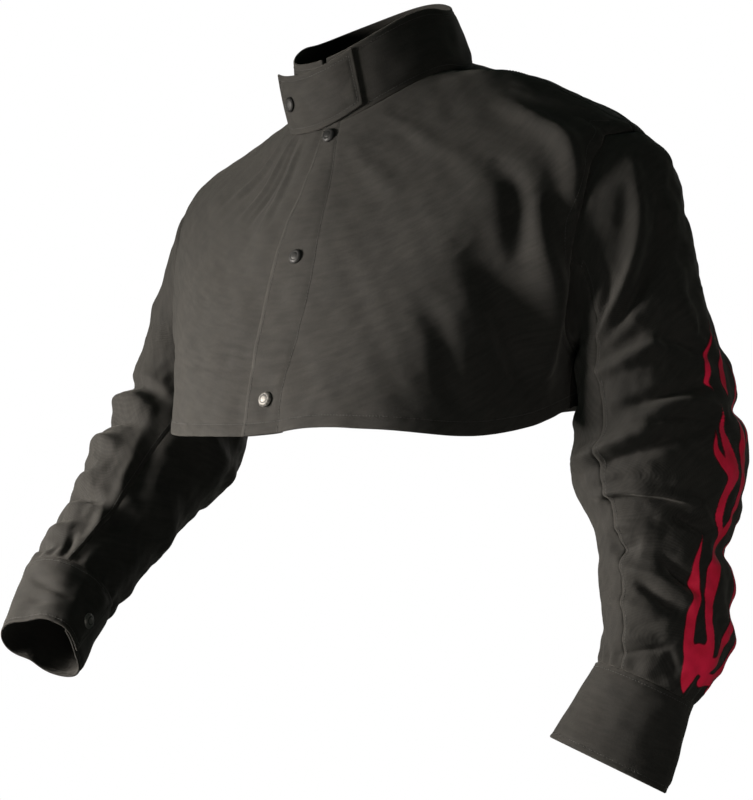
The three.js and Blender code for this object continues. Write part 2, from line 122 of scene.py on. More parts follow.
@dataclass(frozen=True)
class SizeTable:
    """Rows of sizes, read as smooth curves along their first column.

    Attributes:
        columns: The columns' names.
        rows: The rows, by rising first column.
    """

    columns: tuple[str, ...]
    rows: tuple[tuple[float, ...], ...]

    @property
    def last(self) -> float:
        """The last row's place along the first column."""
        return self.rows[-1][0]

    def at(self, place: Array) -> dict[str, Array]:
        """Reads the sizes at places along the first column.

        Args:
            place: Places in the first column's unit.

        Returns:
            Each column's values there.
        """
        sizes = np.array(self.rows, float)
        keys = sizes[:, 0]
        count = len(keys)
        before = np.maximum(np.arange(count) - 1, 0)
        after = np.minimum(np.arange(count) + 1, count - 1)
        slopes = (sizes[after] - sizes[before]) / (keys[after] - keys[before])[:, None]
        i = np.clip(np.searchsorted(keys, place, side="left") - 1, 0, count - 2)
        span = keys[i + 1] - keys[i]
        t = (place - keys[i]) / span
        start, end = 2 * t**3 - 3 * t**2 + 1, 3 * t**2 - 2 * t**3
        leave, arrive = span * (t**3 - 2 * t**2 + t), span * (t**3 - t**2)
        values = {}
        for k, name in enumerate(self.columns):
            ends = start * sizes[i, k] + end * sizes[i + 1, k]
            values[name] = ends + leave * slopes[i, k] + arrive * slopes[i + 1, k]
        return values


# Body and collar rings: down or up from the neck seam, half width, y of the widest line,
# reach to front and back, heights at front, side and back, lean to the wearer's left,
# and the exponents of the outline
RING = (
    "down", "wide", "middle", "front", "back",
    "z_front", "z_side", "z_back", "lean", "round", "back_round",
)
NECK_SEAM = (0, 89, -6, 86, 91, -32, 6, 46, 13, 2, 2)
BODY_RINGS = SizeTable(RING, (
    NECK_SEAM,
    (75, 158, 8, 127, 110, -88, -10, 16, 19, 1.5, 2),
    (145, 236, 22, 170, 128, -143, -47, -46, 13, 1.6, 2.2),
    (185, 264, 26, 192, 142, -188, -75, -114, 15, 1.7, 2.3),
    (245, 246, 20, 205, 152, -238, -165, -190, 6, 2, 2.3),
    (315, 204, 12, 216, 158, -288, -262, -266, 4, 2.6, 2.3),
    (370, 198, 8, 224, 158, -330, -312, -330, 4, 2.7, 2.3),
))
COLLAR_RINGS = SizeTable(RING, (NECK_SEAM, (62, 79, -21, 83, 76, 28, 63, 97, 14, 2, 2)))
HEM_DOWN = 370
HEM_ROW = 356
SIDE_SEAM = 90
HEM_WAVE_FROM = 270
HEM_WAVES = ((15, 5, 13), (58, -20, 20), (78, -8, 13), (-42, -3, 16), (150, 6, 16), (204, -6, 18))
COLLAR_WAVES = ((246, 14, 42), (310, -4, 24))

# Sleeve and cuff sections: distance along, middle, swing below the horizontal,
# reach to the front, half sizes
SECTION = ("along", "x", "y", "z", "swing", "reach", "across", "deep")
LEFT_SECTIONS = SizeTable(SECTION, (
    (0, 240, 26, -160, 17, 0, 108, 74),
    (22, 251, 27.5, -171, 23, 0, 104, 73),
    (45, 258, 29, -194, 30, 0, 86, 72),
    (75, 265, 30, -224, 50, 0, 67, 74),
    (112, 267, 32, -260, 76, -2, 63, 80),
    (168, 276, 37, -312, 86, -3, 70, 90),
    (230, 274, 40, -373, 87, 1, 78, 94),
    (290, 279, 36, -429, 84, 8, 61, 74),
    (360, 287, 22, -493, 84, 14, 57, 68),
    (410, 290, 8, -538, 97, 20, 55, 66),
    (450, 280, -8, -568, 107, 22, 48, 48),
))
RIGHT_SECTIONS = SizeTable(SECTION, (
    (0, 240, 22, -180, 13, 3, 99, 74),
    (45, 253, 22, -207, 30, 8, 78, 72),
    (75, 261, 20, -232, 50, 14, 68, 74),
    (115, 264, 8, -268, 74, 26, 60, 76),
    (185, 260, -28, -331, 84, 40, 62, 80),
    (265, 254, -98, -380, 90, 47, 58, 64),
    (350, 246, -168, -439, 95, 51, 49, 52),
    (420, 238, -229, -481, 104, 52, 46, 48),
))
LEFT_CUFF = SizeTable(SECTION, (
    (0, 280, -8, -568, 107, 22, 48, 48),
    (81, 256, -38, -640, 109.5, 21, 60, 44),
))
RIGHT_CUFF = SizeTable(SECTION, (
    (0, 238, -229, -481, 104, 52, 46, 48),
    (76, 217, -288, -524, 106, 52, 44, 40),
))
LEFT_SEAM = 98
RIGHT_SEAM = 136
RIGHT_CUFF_WAVES = ((100, -9, 32), (206, -7, 44), (258, 8, 24), (332, -13, 32))


@dataclass(frozen=True)
class Cut:
    """The flat piece that a sheet is cut to, before it is sewn and worn.

    Attributes:
        flat: Width and length of the cloth it is cut from, in metres.
        area: Area of its outline without allowances, in square metres.
    """

    flat: tuple[float, float]
    area: float


# Outlines drawn from a 1260 mm chest, 265 mm half shoulders, 390 mm down the back
# and 300 mm down the front. Both sleeves share one cut, 500 mm wide at the top
# and 340 mm at the cuff, and so do both cuffs.
FRONT_CUT = Cut((0.40, 0.42), 0.106)
BACK_CUT = Cut((0.72, 0.43), 0.213)
SLEEVE_CUT = Cut((0.52, 0.52), 0.208)
CUFF_CUT = Cut((0.36, 0.09), 0.0272)
COLLAR_CUT = Cut((0.53, 0.075), 0.0329)
TAB_CUT = Cut((0.125, 0.06), 0.0066)


@dataclass(frozen=True)
class Fold:
    """A soft ridge along a line on a chart, or a groove where its lift is negative.

    Attributes:
        line: Points of degrees round and millimetres along.
        width: Half width, in millimetres.
        lift: Height, in millimetres.
    """

    line: tuple[tuple[float, float], ...]
    width: float
    lift: float


BODY_FOLDS = (
    Fold(((42, 214), (52, 256), (62, 296), (73, 336)), 15, -12),
    Fold(((57, 205), (63, 245), (71, 285), (77, 330)), 17, 20),
    Fold(((50, 150), (54, 200), (58, 240)), 13, -8),
    Fold(((67, 110), (68, 190), (72, 255)), 15, 12),
    Fold(((80, 140), (81, 210), (83, 280)), 11, -8),
    Fold(((33, 240), (43, 286), (50, 330), (57, 356)), 11, -5),
    Fold(((-33, 14), (-32, 70), (-29, 140)), 7, 3.4),
    Fold(((-22, 18), (-20, 75), (-16, 145)), 8, 3),
    Fold(((-43, 22), (-43, 80), (-42, 145)), 8, 3.2),
    Fold(((-28, 14), (-26, 75), (-23, 140)), 5.5, -2.6),
    Fold(((12, 30), (20, 90), (30, 150)), 14, 2),
    Fold(((32, 24), (40, 90), (46, 150)), 12, 2.2),
    Fold(((-64, 200), (-60, 270), (-56, 335)), 20, 5),
    Fold(((150, 120), (144, 220), (138, 330)), 26, 7),
    Fold(((180, 60), (179, 200), (178, 350)), 28, -5),
    Fold(((206, 110), (214, 220), (222, 330)), 26, 7),
    Fold(((118, 190), (122, 270), (127, 350)), 20, 6),
    Fold(((243, 190), (238, 270), (233, 350)), 20, 6),
    Fold(((100, 120), (112, 150), (128, 165)), 15, 3.5),
    Fold(((260, 120), (248, 150), (232, 165)), 15, 3.5),
)
LEFT_SLEEVE_FOLDS = (
    Fold(((38, 10), (38, 36), (46, 52), (58, 64), (72, 77), (98, 94)), 12, 10.5),
    Fold(((12, 40), (24, 58), (42, 69), (58, 80), (76, 92), (96, 104)), 9, -9.5),
    Fold(((84, 40), (80, 62), (98, 84)), 7.5, -5.4),
    Fold(((28, 84), (18, 100), (8, 114)), 13, 6.8),
    Fold(((104, 130), (76, 124), (50, 117), (38, 121)), 8.5, 9.5),
    Fold(((46, 114), (32, 113), (18, 119), (4, 128)), 7.5, -9.5),
    Fold(((92, 112), (70, 108), (48, 106)), 7.5, -5.4),
    Fold(((84, 165), (64, 160), (44, 156), (22, 153), (4, 151)), 6.5, -9.5),
    Fold(((70, 173), (42, 167), (18, 171), (8, 178)), 6, 8.1),
    Fold(((62, 181), (42, 178), (20, 183)), 4.5, -6.8),
    Fold(((138, 216), (106, 209), (76, 193), (46, 182)), 12, 12.2),
    Fold(((18, 187), (44, 197), (72, 209), (100, 224)), 9.5, -8.1),
    Fold(((112, 258), (82, 250), (52, 258), (30, 272), (12, 294)), 7.5, 10.8),
    Fold(((60, 270), (40, 268), (24, 280), (14, 298)), 6, -3),
    Fold(((48, 282), (36, 290), (18, 299)), 7.5, -10.8),
    Fold(((112, 312), (94, 318), (76, 314)), 8.5, -8.1),
    Fold(((116, 290), (84, 292), (56, 300)), 12, 5.4),
    Fold(((60, 329), (44, 345), (22, 361)), 7.5, -12.2),
    Fold(((102, 334), (72, 346), (44, 362), (28, 378)), 8.5, 6.8),
    Fold(((84, 353), (60, 372), (42, 381)), 7.5, -10.8),
    Fold(((114, 370), (80, 384), (48, 398)), 13, 6.8),
    Fold(((54, 421), (44, 434), (34, 444)), 7.5, -6.8),
    Fold(((130, 446), (96, 434), (66, 421), (50, 411)), 4, -3.4),
    Fold(((120, 426), (80, 412), (50, 404)), 9.5, 4.1),
    Fold(((12, 318), (-16, 316), (-56, 312)), 14, -8),
    Fold(((-20, 134), (-50, 143), (-80, 155)), 17, 4),
    Fold(((0, 82), (-34, 84), (-64, 92)), 16, -4),
    Fold(((0, 177), (-34, 181), (-64, 186)), 10, -7),
    Fold(((-25, 205), (-60, 214), (-105, 226)), 16, 5),
    Fold(((-20, 268), (-58, 280), (-95, 290)), 15, 8),
    Fold(((-20, 345), (-60, 350), (-110, 354)), 16, 6),
    Fold(((-20, 384), (-54, 391), (-90, 402)), 14, 7),
    Fold(((136, 174), (170, 177), (215, 188)), 17, 7),
    Fold(((150, 250), (190, 256), (230, 264)), 17, 8),
    Fold(((160, 345), (198, 346), (235, 350)), 16, 7),
)
RIGHT_SLEEVE_FOLDS = (
    Fold(((30, 194), (62, 203), (90, 208), (118, 218)), 14, 11),
    Fold(((30, 166), (58, 174), (84, 181), (112, 194)), 10, -8),
    Fold(((28, 230), (50, 232), (78, 234), (112, 238)), 9, -10),
    Fold(((46, 262), (72, 264), (104, 276)), 11.5, 10.4),
    Fold(((30, 294), (62, 292), (84, 298)), 9, -6),
    Fold(((50, 305), (70, 308), (90, 314)), 13, 5.2),
    Fold(((48, 321), (84, 332), (120, 338)), 8.5, -11.7),
    Fold(((126, 232), (136, 280), (142, 320)), 15, -7),
    Fold(((121, 258), (126, 306), (134, 332)), 11, 3),
    Fold(((134, 352), (150, 347), (166, 344)), 16, -10.4),
    Fold(((124, 346), (131, 366), (134, 392)), 9.5, 6.5),
    Fold(((46, 396), (74, 401), (102, 409)), 6.5, -7.8),
    Fold(((50, 372), (80, 378), (108, 384)), 11.5, 5.2),
    Fold(((112, 384), (118, 398), (122, 414)), 7.5, -6.5),
    Fold(((-30, 144), (-58, 150), (-85, 160)), 16, 6),
    Fold(((-20, 230), (-60, 236), (-100, 242)), 16, 7),
    Fold(((-5, 310), (-55, 315), (-105, 320)), 15, 7),
    Fold(((-10, 372), (-50, 376), (-90, 380)), 13, 5),
    Fold(((150, 200), (178, 207), (205, 214)), 17, 9),
    Fold(((150, 300), (191, 306), (232, 312)), 16, 7),
)
LEFT_CUFF_FOLDS = (
    Fold(((40, 12), (64, 22), (92, 26)), 9, -1.2),
    Fold(((110, 60), (84, 50), (56, 46)), 12, 1.2),
)
RIGHT_CUFF_FOLDS = (
    Fold(((88, 24), (110, 33), (147, 40), (180, 26)), 6, -3),
    Fold(((92, 10), (124, 20), (156, 18)), 9, 2.2),
    Fold(((92, 48), (122, 54), (150, 50)), 6, -1.8),
    Fold(((166, 8), (172, 26), (168, 44)), 8, -3),
    Fold(((190, 6), (194, 20), (190, 38)), 9, 2),
)


def wave_rise(waves: Triples, around: Array) -> Array:
    """How far an edge's waves rise.

    Args:
        waves: The waves: degrees round, rise and half width.
        around: Degrees round.

    Returns:
        The rises, in millimetres.
    """
    total = np.zeros_like(around)
    for at, rise, width in waves:
        total = total + rise * bell(turned(around, at), 0, width)
    return total


@dataclass(frozen=True)
class FoldChart:
    """The folds of one piece of cloth.

    Attributes:
        folds: The folds.
        mm_per_degree: The chart's width of a degree, in millimetres.
        valley: How strongly a fold is flanked by the opposite of itself.
        end: Share of its height that a fold keeps at its ends.
        blunt: Exponent of how bluntly a fold falls off towards its ends.
        reach: How far from its line a fold is worked out, in half widths.
        steps: Straight steps along a fold.
    """

    folds: tuple[Fold, ...]
    mm_per_degree: float
    valley: float = 0.6
    end: float = 0.12
    blunt: float = 0.8
    reach: float = 2.8
    steps: int = 22

    def lift(self, around: Array, along: Array) -> Array:
        """Adds up the folds.

        Args:
            around: Degrees round the piece.
            along: Millimetres along the piece.

        Returns:
            How far the folds lift the cloth there, in millimetres.
        """
        total = np.zeros_like(around)
        for fold in self.folds:
            total += self._one(fold, around, along)
        return total

    def _one(self, fold: Fold, around: Array, along: Array) -> Array:
        """Finds the lift of one fold.

        Args:
            fold: The fold.
            around: Degrees round the piece.
            along: Millimetres along the piece.

        Returns:
            How far it lifts the cloth there, in millimetres.
        """
        start = fold.line[0][0]
        scale = self.mm_per_degree
        rows = tuple((float(k), (a - start) * scale, b) for k, (a, b) in enumerate(fold.line))
        path = SizeTable(("k", "x", "y"), rows).at(np.linspace(0, len(rows) - 1, self.steps + 1))
        nodes = np.stack([path["x"], path["y"]], axis=-1)
        place = np.stack([turned(around, start) * scale, along], axis=-1)
        reach = self.reach * fold.width
        near = np.all((place > nodes.min(0) - reach) & (place < nodes.max(0) + reach), axis=-1)
        lift = np.zeros_like(around)
        if not near.any():
            return lift
        step = np.diff(nodes, axis=0)
        offset = place[near][:, None] - nodes[None, :-1]
        t = np.clip((offset * step).sum(-1) / (step**2).sum(-1), 0, 1)
        distance = np.linalg.norm(offset - t[..., None] * step, axis=-1)
        nearest = distance.argmin(axis=1)
        pick = np.arange(len(nearest))
        share = (nearest + t[pick, nearest]) / self.steps
        height = self.end + (1 - self.end) * np.sin(math.pi * share) ** self.blunt
        d2 = (distance[pick, nearest] / fold.width) ** 2
        lift[near] = fold.lift * height * (1 - self.valley * d2) * np.exp(-d2)
        return lift


@dataclass(frozen=True)
class Ripple:
    """Small random swells of cloth: waves of about one length in many directions.

    Attributes:
        seed: Seed of the directions and phases.
        length: Wave length, in millimetres.
        height: Height, in millimetres.
        waves: How many waves are added up.
    """

    seed: int
    length: float
    height: float
    waves: int = 16

    def lift(self, points: Array) -> Array:
        """Adds up the swells.

        Args:
            points: Points in millimetres.

        Returns:
            How far the swells lift the cloth there, in millimetres.
        """
        draw = np.random.default_rng(self.seed)
        direction = unit(draw.normal(size=(self.waves, 3)))
        stretch = draw.uniform(0.7, 1.4, self.waves)
        phase = draw.uniform(0, TAU, self.waves)
        angle = points @ (direction * (TAU / self.length * stretch)[:, None]).T + phase
        return self.height * np.cos(angle).sum(axis=-1) / math.sqrt(self.waves / 2)


LEFT_SLEEVE_SWELLS = (Ripple(21, 38, 0.8), Ripple(22, 15, 0.25))
RIGHT_SLEEVE_SWELLS = (Ripple(31, 38, 0.8), Ripple(32, 15, 0.25))


def swelling(swells: Sequence[Ripple], points: Array) -> Array:
    """How far several swells together lift the cloth at points, in millimetres."""
    return sum(swell.lift(points) for swell in swells)


@dataclass(frozen=True)
class Groove:
    """A line along which the cloth is drawn in, or stands up where its depth is negative.

    Attributes:
        depth: How far, in millimetres.
        width: Half width, in millimetres.
        place: The line's distance from the seam or edge that it follows.
    """

    depth: float
    width: float
    place: float = 0.0

    def at(self, distance: Array) -> Array:
        """How far the cloth is drawn in at distances from the seam or edge, in millimetres."""
        return self.depth * bell(distance, self.place, self.width)


@dataclass(frozen=True)
class Pucker:
    """How unevenly stitches draw the cloth in.

    Attributes:
        amount: The unevenness, as a share or in millimetres.
        turns: Puckers in a full turn.
        drift: How far their spacing wanders.
        drift_turns: Wanderings in a full turn.
    """

    amount: float
    turns: float
    drift: float = 0.0
    drift_turns: float = 0.0

    def at(self, around: Array, phase: float = 0.0) -> Array:
        """Finds the unevenness round a row.

        Args:
            around: Degrees round.
            phase: Where the puckers begin, in radians.

        Returns:
            The unevenness, about 0.
        """
        angle = np.radians(around)
        wander = self.drift * np.sin(angle * self.drift_turns)
        return self.amount * np.sin(angle * self.turns + wander + phase)


@dataclass(frozen=True)
class SewnEdge:
    """A row of stitches along an edge, with the cloth drawn in under it and fuller inside it.

    Attributes:
        row: Distance of the row from the edge, in millimetres.
        swell: How far the cloth rises inside the row.
        full: Distance from the edge where it has risen.
        depth: How far the row draws the cloth in.
        start: Distance from the edge where the cloth begins to rise.
        width: Half width of the drawn line.
    """

    row: float
    swell: float
    full: float
    depth: float
    start: float = 4
    width: float = 1.8

    def lift(self, inset: Array, pucker: Array | float = 1.0) -> Array:
        """How far the cloth rises at distances from the edge, in millimetres.

        Args:
            inset: Distances from the edge.
            pucker: How strongly each place of the row is drawn in.

        Returns:
            The heights.
        """
        drawn = self.depth * bell(inset, self.row, self.width) * pucker
        return self.swell * smoothstep(inset, self.start, self.full) - drawn


def edge_distance(ends: Array, along: Array, length: float) -> Array:
    """Distances from a band's edges, given those from its ends and along its width."""
    return np.minimum(ends, np.minimum(along, length - along))


class Surface:
    """A form that maps a chart of two numbers to points in millimetres.

    Attributes:
        turn: The sign that makes the chart's two directions span an outward normal.
        step: Chart step for finding directions.
    """

    turn: int = 1
    step: float = 0.5

    def point(self, u: Array, v: Array) -> Array:
        """Points at places of the chart."""
        raise NotImplementedError

    def outward(self, u: Array, v: Array) -> Array:
        """Finds outward directions.

        Args:
            u: First chart numbers.
            v: Second chart numbers.

        Returns:
            Unit normals there.
        """
        du = self.point(u + self.step, v) - self.point(u - self.step, v)
        dv = self.point(u, v + self.step) - self.point(u, v - self.step)
        return unit(np.cross(du, dv) * self.turn)


@dataclass(frozen=True)
class RingSurface(Surface):
    """A form of level rings round the neck: degrees from the front to the wearer's left, by distance.

    Attributes:
        rings: The rings' sizes.
        waves: Waves of the far edge: degrees round, rise and half width.
        waves_from: Distance where the waves begin.
        turn: The outward normal's sign.
        rise: Height of the whole form above its table.
    """

    rings: SizeTable
    waves: Triples
    waves_from: float
    turn: int = 1
    rise: float = 0.0

    def point(self, u: Array, v: Array) -> Array:
        """Points at places of the chart.

        Args:
            u: Degrees round.
            v: Distances from the neck seam.

        Returns:
            The points, in millimetres.
        """
        ring = self.rings.at(v)
        s, c = np.sin(np.radians(u)), np.cos(np.radians(u))
        is_front = c > 0
        reach = np.where(is_front, ring["front"], ring["back"])
        end_z = np.where(is_front, ring["z_front"], ring["z_back"])
        power = np.where(is_front, ring["round"], ring["back_round"])
        q = (np.abs(s) ** power + np.abs(c) ** power) ** (-1 / power)
        z = ring["z_side"] + (end_z - ring["z_side"]) * c * c + ring["lean"] * s + self.rise
        z += wave_rise(self.waves, u) * smoothstep(v, self.waves_from, self.rings.last)
        return np.stack([ring["wide"] * q * s, ring["middle"] - reach * q * c, z], axis=-1)


@dataclass(frozen=True)
class SectionSurface(Surface):
    """A sleeve's form: degrees from its outer side to its front, by distance along.

    Attributes:
        sections: The sections' sizes.
        side: The wearer's side.
    """

    sections: SizeTable
    side: Side

    @property
    def turn(self) -> int:
        """The outward normal's sign."""
        return self.side.value

    def grow(self, u: Array, v: Array) -> Array:
        """How far the form stands out from its table."""
        return np.zeros_like(u)

    def point(self, u: Array, v: Array) -> Array:
        """Points at places of the chart; before the first section the form runs straight on.

        Args:
            u: Degrees round.
            v: Distances along.

        Returns:
            The points, in millimetres.
        """
        row = self.sections.at(np.maximum(v, 0))
        swing, reach = np.radians(row["swing"]), np.radians(row["reach"])
        level = np.cos(reach)
        axis = np.stack([level * np.cos(swing), -np.sin(reach), -level * np.sin(swing)], axis=-1)
        front = unit(np.array([0.0, -1.0, 0.0]) + axis * axis[..., 1:2])
        out = np.cross(front, axis)
        across = (row["across"] + self.grow(u, v)) * np.cos(np.radians(u))
        deep = (row["deep"] + self.grow(u, v)) * np.sin(np.radians(u))
        middle = np.stack([row["x"], row["y"], row["z"]], axis=-1) + axis * np.minimum(v, 0)[..., None]
        points = middle + out * across[..., None] + front * deep[..., None]
        return points * np.array([self.side.value, 1, 1])


@dataclass(frozen=True)
class CuffSurface(SectionSurface):
    """A cuff's form: a band that rises onto its own start.

    Attributes:
        waves: Waves of its free edge: degrees round, rise and half width.
        closed: Degrees round at which the band's end lies over its start.
        ramp: Degrees over which it rises.
    """

    waves: Triples = ()
    closed: float = 532
    ramp: float = 24

    def grow(self, u: Array, v: Array) -> Array:
        """How far the band has risen onto its start, and how far its free edge waves."""
        lapped = (DOUBLED + LAYER_GAP) * smoothstep(u, self.closed - self.ramp, self.closed)
        return lapped + wave_rise(self.waves, u) * smoothstep(v, 0, self.sections.last)


@dataclass(frozen=True)
class TabSurface(Surface):
    """The throat tab's form: share from its free end to its sewn one, by share of its height.

    Attributes:
        collar: The form that it lies on.
        free: Bottom and top corners of its free end: degrees, height on the collar and stand-off.
        sewn: The same of its sewn end.
        curl: Exponent of how late the free end bends away.
        flare: Exponent of how late its free edge flares towards the top.
        step: Chart step for finding directions.
    """

    collar: RingSurface
    free: Triples = ((-34, -10, 10), (-58, 46, 15))
    sewn: Triples = ((22, 6, 0.6), (22, 60, 0.6))
    curl: float = 3
    flare: float = 2
    step: float = 0.005

    def point(self, u: Array, v: Array) -> Array:
        """Points at places of the chart.

        Args:
            u: Shares of the length.
            v: Shares of the height.

        Returns:
            The points, in millimetres.
        """
        free, sewn = ([low + (high - low) * v for low, high in zip(*end)] for end in (self.free, self.sewn))
        around, up = (a + (b - a) * u for a, b in zip(free[:2], sewn[:2]))
        flared = self.free[0][2] + (self.free[1][2] - self.free[0][2]) * np.maximum(v, 0) ** self.flare
        stand_off = sewn[2] + (flared - sewn[2]) * np.maximum(1 - u, 0) ** self.curl
        points = self.collar.point(around, up)
        away = unit(points * np.array([1.0, 1.0, 0.0]))
        return points + away * (stand_off + DOUBLED)[..., None]


@dataclass
class Path:
    """A line or a place on cloth.

    Attributes:
        points: Points in millimetres.
        outward: The cloth's outward directions there.
    """

    points: Array
    outward: Array


def spot_on(surface: Surface, u: float, v: float, lift: Callable[[Array, Array, Array], Array]) -> Path:
    """Finds a place on finished cloth.

    Args:
        surface: The cloth's form.
        u: First chart number.
        v: Second chart number.
        lift: Gives the cloth's height over the form, from chart numbers and the form's points.

    Returns:
        The place and its outward direction.
    """
    us, vs = np.array([u], float), np.array([v], float)
    points, outward = surface.point(us, vs), surface.outward(us, vs)
    return Path(points + outward * lift(us, vs, points)[:, None], outward)


def between(values: Array, pairs: Array, share: Array) -> Array:
    """Values between pairs of points, by a share of the way from the first to the second."""
    return values[pairs[:, 0]] * (1 - share) + values[pairs[:, 1]] * share


@dataclass
class Sheet:
    """The outer face of a sheet of cloth, as triangles.

    Attributes:
        points: Points in millimetres.
        outward: Unit normals at the points.
        chart: The points' places on the form's chart.
        flat: The points' places on the cloth as it lies flat, in millimetres.
        faces: Triangles, anticlockwise seen from outside.
    """

    points: Array
    outward: Array
    chart: Array
    flat: Array
    faces: Array

    @classmethod
    def over(cls, surface: Surface, us: Array, vs: Array) -> "Sheet":
        """Lays a sheet over a form.

        Args:
            surface: The form.
            us: Chart columns.
            vs: Chart rows.

        Returns:
            The sheet.
        """
        u, v = np.meshgrid(us, vs)
        grid = surface.point(u, v)
        width, height = np.zeros(u.shape), np.zeros(u.shape)
        width[:, 1:] = np.linalg.norm(np.diff(grid, axis=1), axis=-1).cumsum(axis=1)
        height[1:] = np.linalg.norm(np.diff(grid, axis=0), axis=-1).cumsum(axis=0)
        width -= width[:, len(us) // 2][:, None]
        index = np.arange(u.size).reshape(u.shape)
        a, b, c, d = index[:-1, :-1], index[:-1, 1:], index[1:, 1:], index[1:, :-1]
        quads = np.stack([a, b, c, a, c, d], axis=-1).reshape(-1, 3)
        return cls(
            grid.reshape(-1, 3),
            surface.outward(u, v).reshape(-1, 3),
            np.stack([u, v], axis=-1).reshape(-1, 2),
            np.stack([width, height], axis=-1).reshape(-1, 2),
            quads if surface.turn > 0 else quads[:, ::-1].copy(),
        )

    @property
    def around(self) -> Array:
        """The points' first chart numbers."""
        return self.chart[:, 0]

    @property
    def along(self) -> Array:
        """The points' second chart numbers."""
        return self.chart[:, 1]

    def values(self) -> tuple[Array, ...]:
        """What the sheet carries at its points."""
        return self.points, self.outward, self.chart, self.flat

    def _edges(self) -> Array:
        """The triangles' edges: all the first ones, then the second, then the third."""
        return np.concatenate([self.faces[:, pair] for pair in ([0, 1], [1, 2], [2, 0])])

    def lift(self, lift: Array) -> None:
        """Moves each point out and finds the new normals.

        Args:
            lift: Heights at the points, in millimetres.
        """
        self.points = self.points + self.outward * lift[:, None]
        a, b, c = (self.points[self.faces[:, k]] for k in range(3))
        normal = np.cross(b - a, c - a)
        total = np.zeros_like(self.points)
        for k in range(3):
            np.add.at(total, self.faces[:, k], normal)
        self.outward = unit(total)

    def part(self, faces: Array) -> "Sheet":
        """The sheet with some of its faces, and only their points."""
        used, index = np.unique(faces, return_inverse=True)
        return Sheet(*(values[used] for values in self.values()), index.reshape(-1, 3))

    def halved(self) -> "Sheet":
        """Cuts each triangle into four.

        Returns:
            The finer sheet.
        """
        pairs, where = np.unique(np.sort(self._edges(), axis=1), axis=0, return_inverse=True)
        ab, bc, ca = where.reshape(3, -1) + len(self.points)
        a, b, c = self.faces.T
        corners = ((a, ab, ca), (ab, b, bc), (ca, bc, c), (ab, bc, ca))
        faces = np.concatenate([np.stack(corner, axis=-1) for corner in corners])
        grown = [np.concatenate([values, values[pairs].mean(axis=1)]) for values in self.values()]
        grown[1] = unit(grown[1])
        return Sheet(*grown, faces)

    def clipped(self, keep: Array) -> "Sheet":
        """Cuts the sheet along the line where a value at its points passes 0.

        Args:
            keep: A value at each point; the cloth stays where it is above 0.

        Returns:
            The cut sheet.
        """
        inside = keep > 0
        count = inside[self.faces].sum(axis=1)
        whole = self.faces[count == 3]
        one, two = self._led(inside, count, 1, True), self._led(inside, count, 2, False)
        cuts = np.concatenate([one[:, [0, 1]], one[:, [0, 2]], two[:, [1, 0]], two[:, [2, 0]]])
        if not len(cuts):
            return self.part(whole)
        pairs, where = np.unique(cuts, axis=0, return_inverse=True)
        share = (keep[pairs[:, 0]] / (keep[pairs[:, 0]] - keep[pairs[:, 1]]))[:, None]
        grown = [np.concatenate([values, between(values, pairs, share)]) for values in self.values()]
        where = where.reshape(-1) + len(self.points)
        n, m = len(one), len(two)
        ab, ac, ba, ca = where[:n], where[n : 2 * n], where[2 * n : 2 * n + m], where[2 * n + m :]
        corners = ((one[:, 0], ab, ac), (two[:, 1], two[:, 2], ca), (two[:, 1], ca, ba))
        faces = np.concatenate([whole, *(np.stack(corner, axis=-1) for corner in corners)])
        return Sheet(*grown, faces).part(faces)

    def _led(self, inside: Array, count: Array, number: int, value: bool) -> Array:
        """Turns triangles so that the odd point out comes first.

        Args:
            inside: Whether each point is inside.
            count: How many points of each triangle are.
            number: How many are in the triangles wanted.
            value: Whether the odd one out is inside.

        Returns:
            Those triangles.
        """
        faces = self.faces[count == number]
        first = (inside[faces] == value).argmax(axis=1)
        order = (first[:, None] + np.arange(3)) % 3
        return np.take_along_axis(faces, order, axis=1)

    def contour(self, values: Array, level: float) -> list[Path]:
        """Finds the lines on the sheet where a value passes a level.

        Args:
            values: A value at each point.
            level: The level.

        Returns:
            The lines.
        """
        over = values > level
        count = over[self.faces].sum(axis=1)
        links: dict[tuple[int, int], list[tuple[int, int]]] = {}
        for number, value in ((1, True), (2, False)):
            for a, b, c in self._led(over, count, number, value).tolist():
                one, two = tuple(sorted((a, b))), tuple(sorted((a, c)))
                links.setdefault(one, []).append(two)
                links.setdefault(two, []).append(one)
        lines = []
        ends = [edge for edge, others in links.items() if len(others) == 1]
        while links:
            edge = next((e for e in ends if e in links), next(iter(links)))
            chain = [edge]
            while True:
                onward = [e for e in links.pop(chain[-1], []) if e in links]
                if not onward:
                    break
                chain.append(onward[0])
            pairs = np.array(chain)
            gap = values[pairs[:, 0]] - values[pairs[:, 1]]
            share = ((values[pairs[:, 0]] - level) / np.where(gap == 0, 1, gap))[:, None]
            points, outward = (between(x, pairs, share) for x in (self.points, self.outward))
            lines.append(Path(points, unit(outward)))
        return lines

    def rim(self) -> Array:
        """Finds the sheet's free edges.

        Returns:
            Pairs of points, in the order of their faces.
        """
        edges = self._edges()
        ordered = np.sort(edges, axis=1)
        _, first, number = np.unique(ordered, axis=0, return_index=True, return_counts=True)
        return edges[first[number == 1]]

    def rim_distance(self) -> Array:
        """Measures how far the points are from the sheet's free edges.

        Returns:
            A distance for each point, in millimetres.
        """
        rim = np.unique(self.rim())
        tree = KDTree(len(rim))
        for k, point in enumerate(self.points[rim]):
            tree.insert(point, k)
        tree.balance()
        return np.array([tree.find(point)[2] for point in self.points])

    def tree(self) -> BVHTree:
        """A search tree of the sheet's triangles."""
        return BVHTree.FromPolygons(self.points.tolist(), self.faces.tolist())


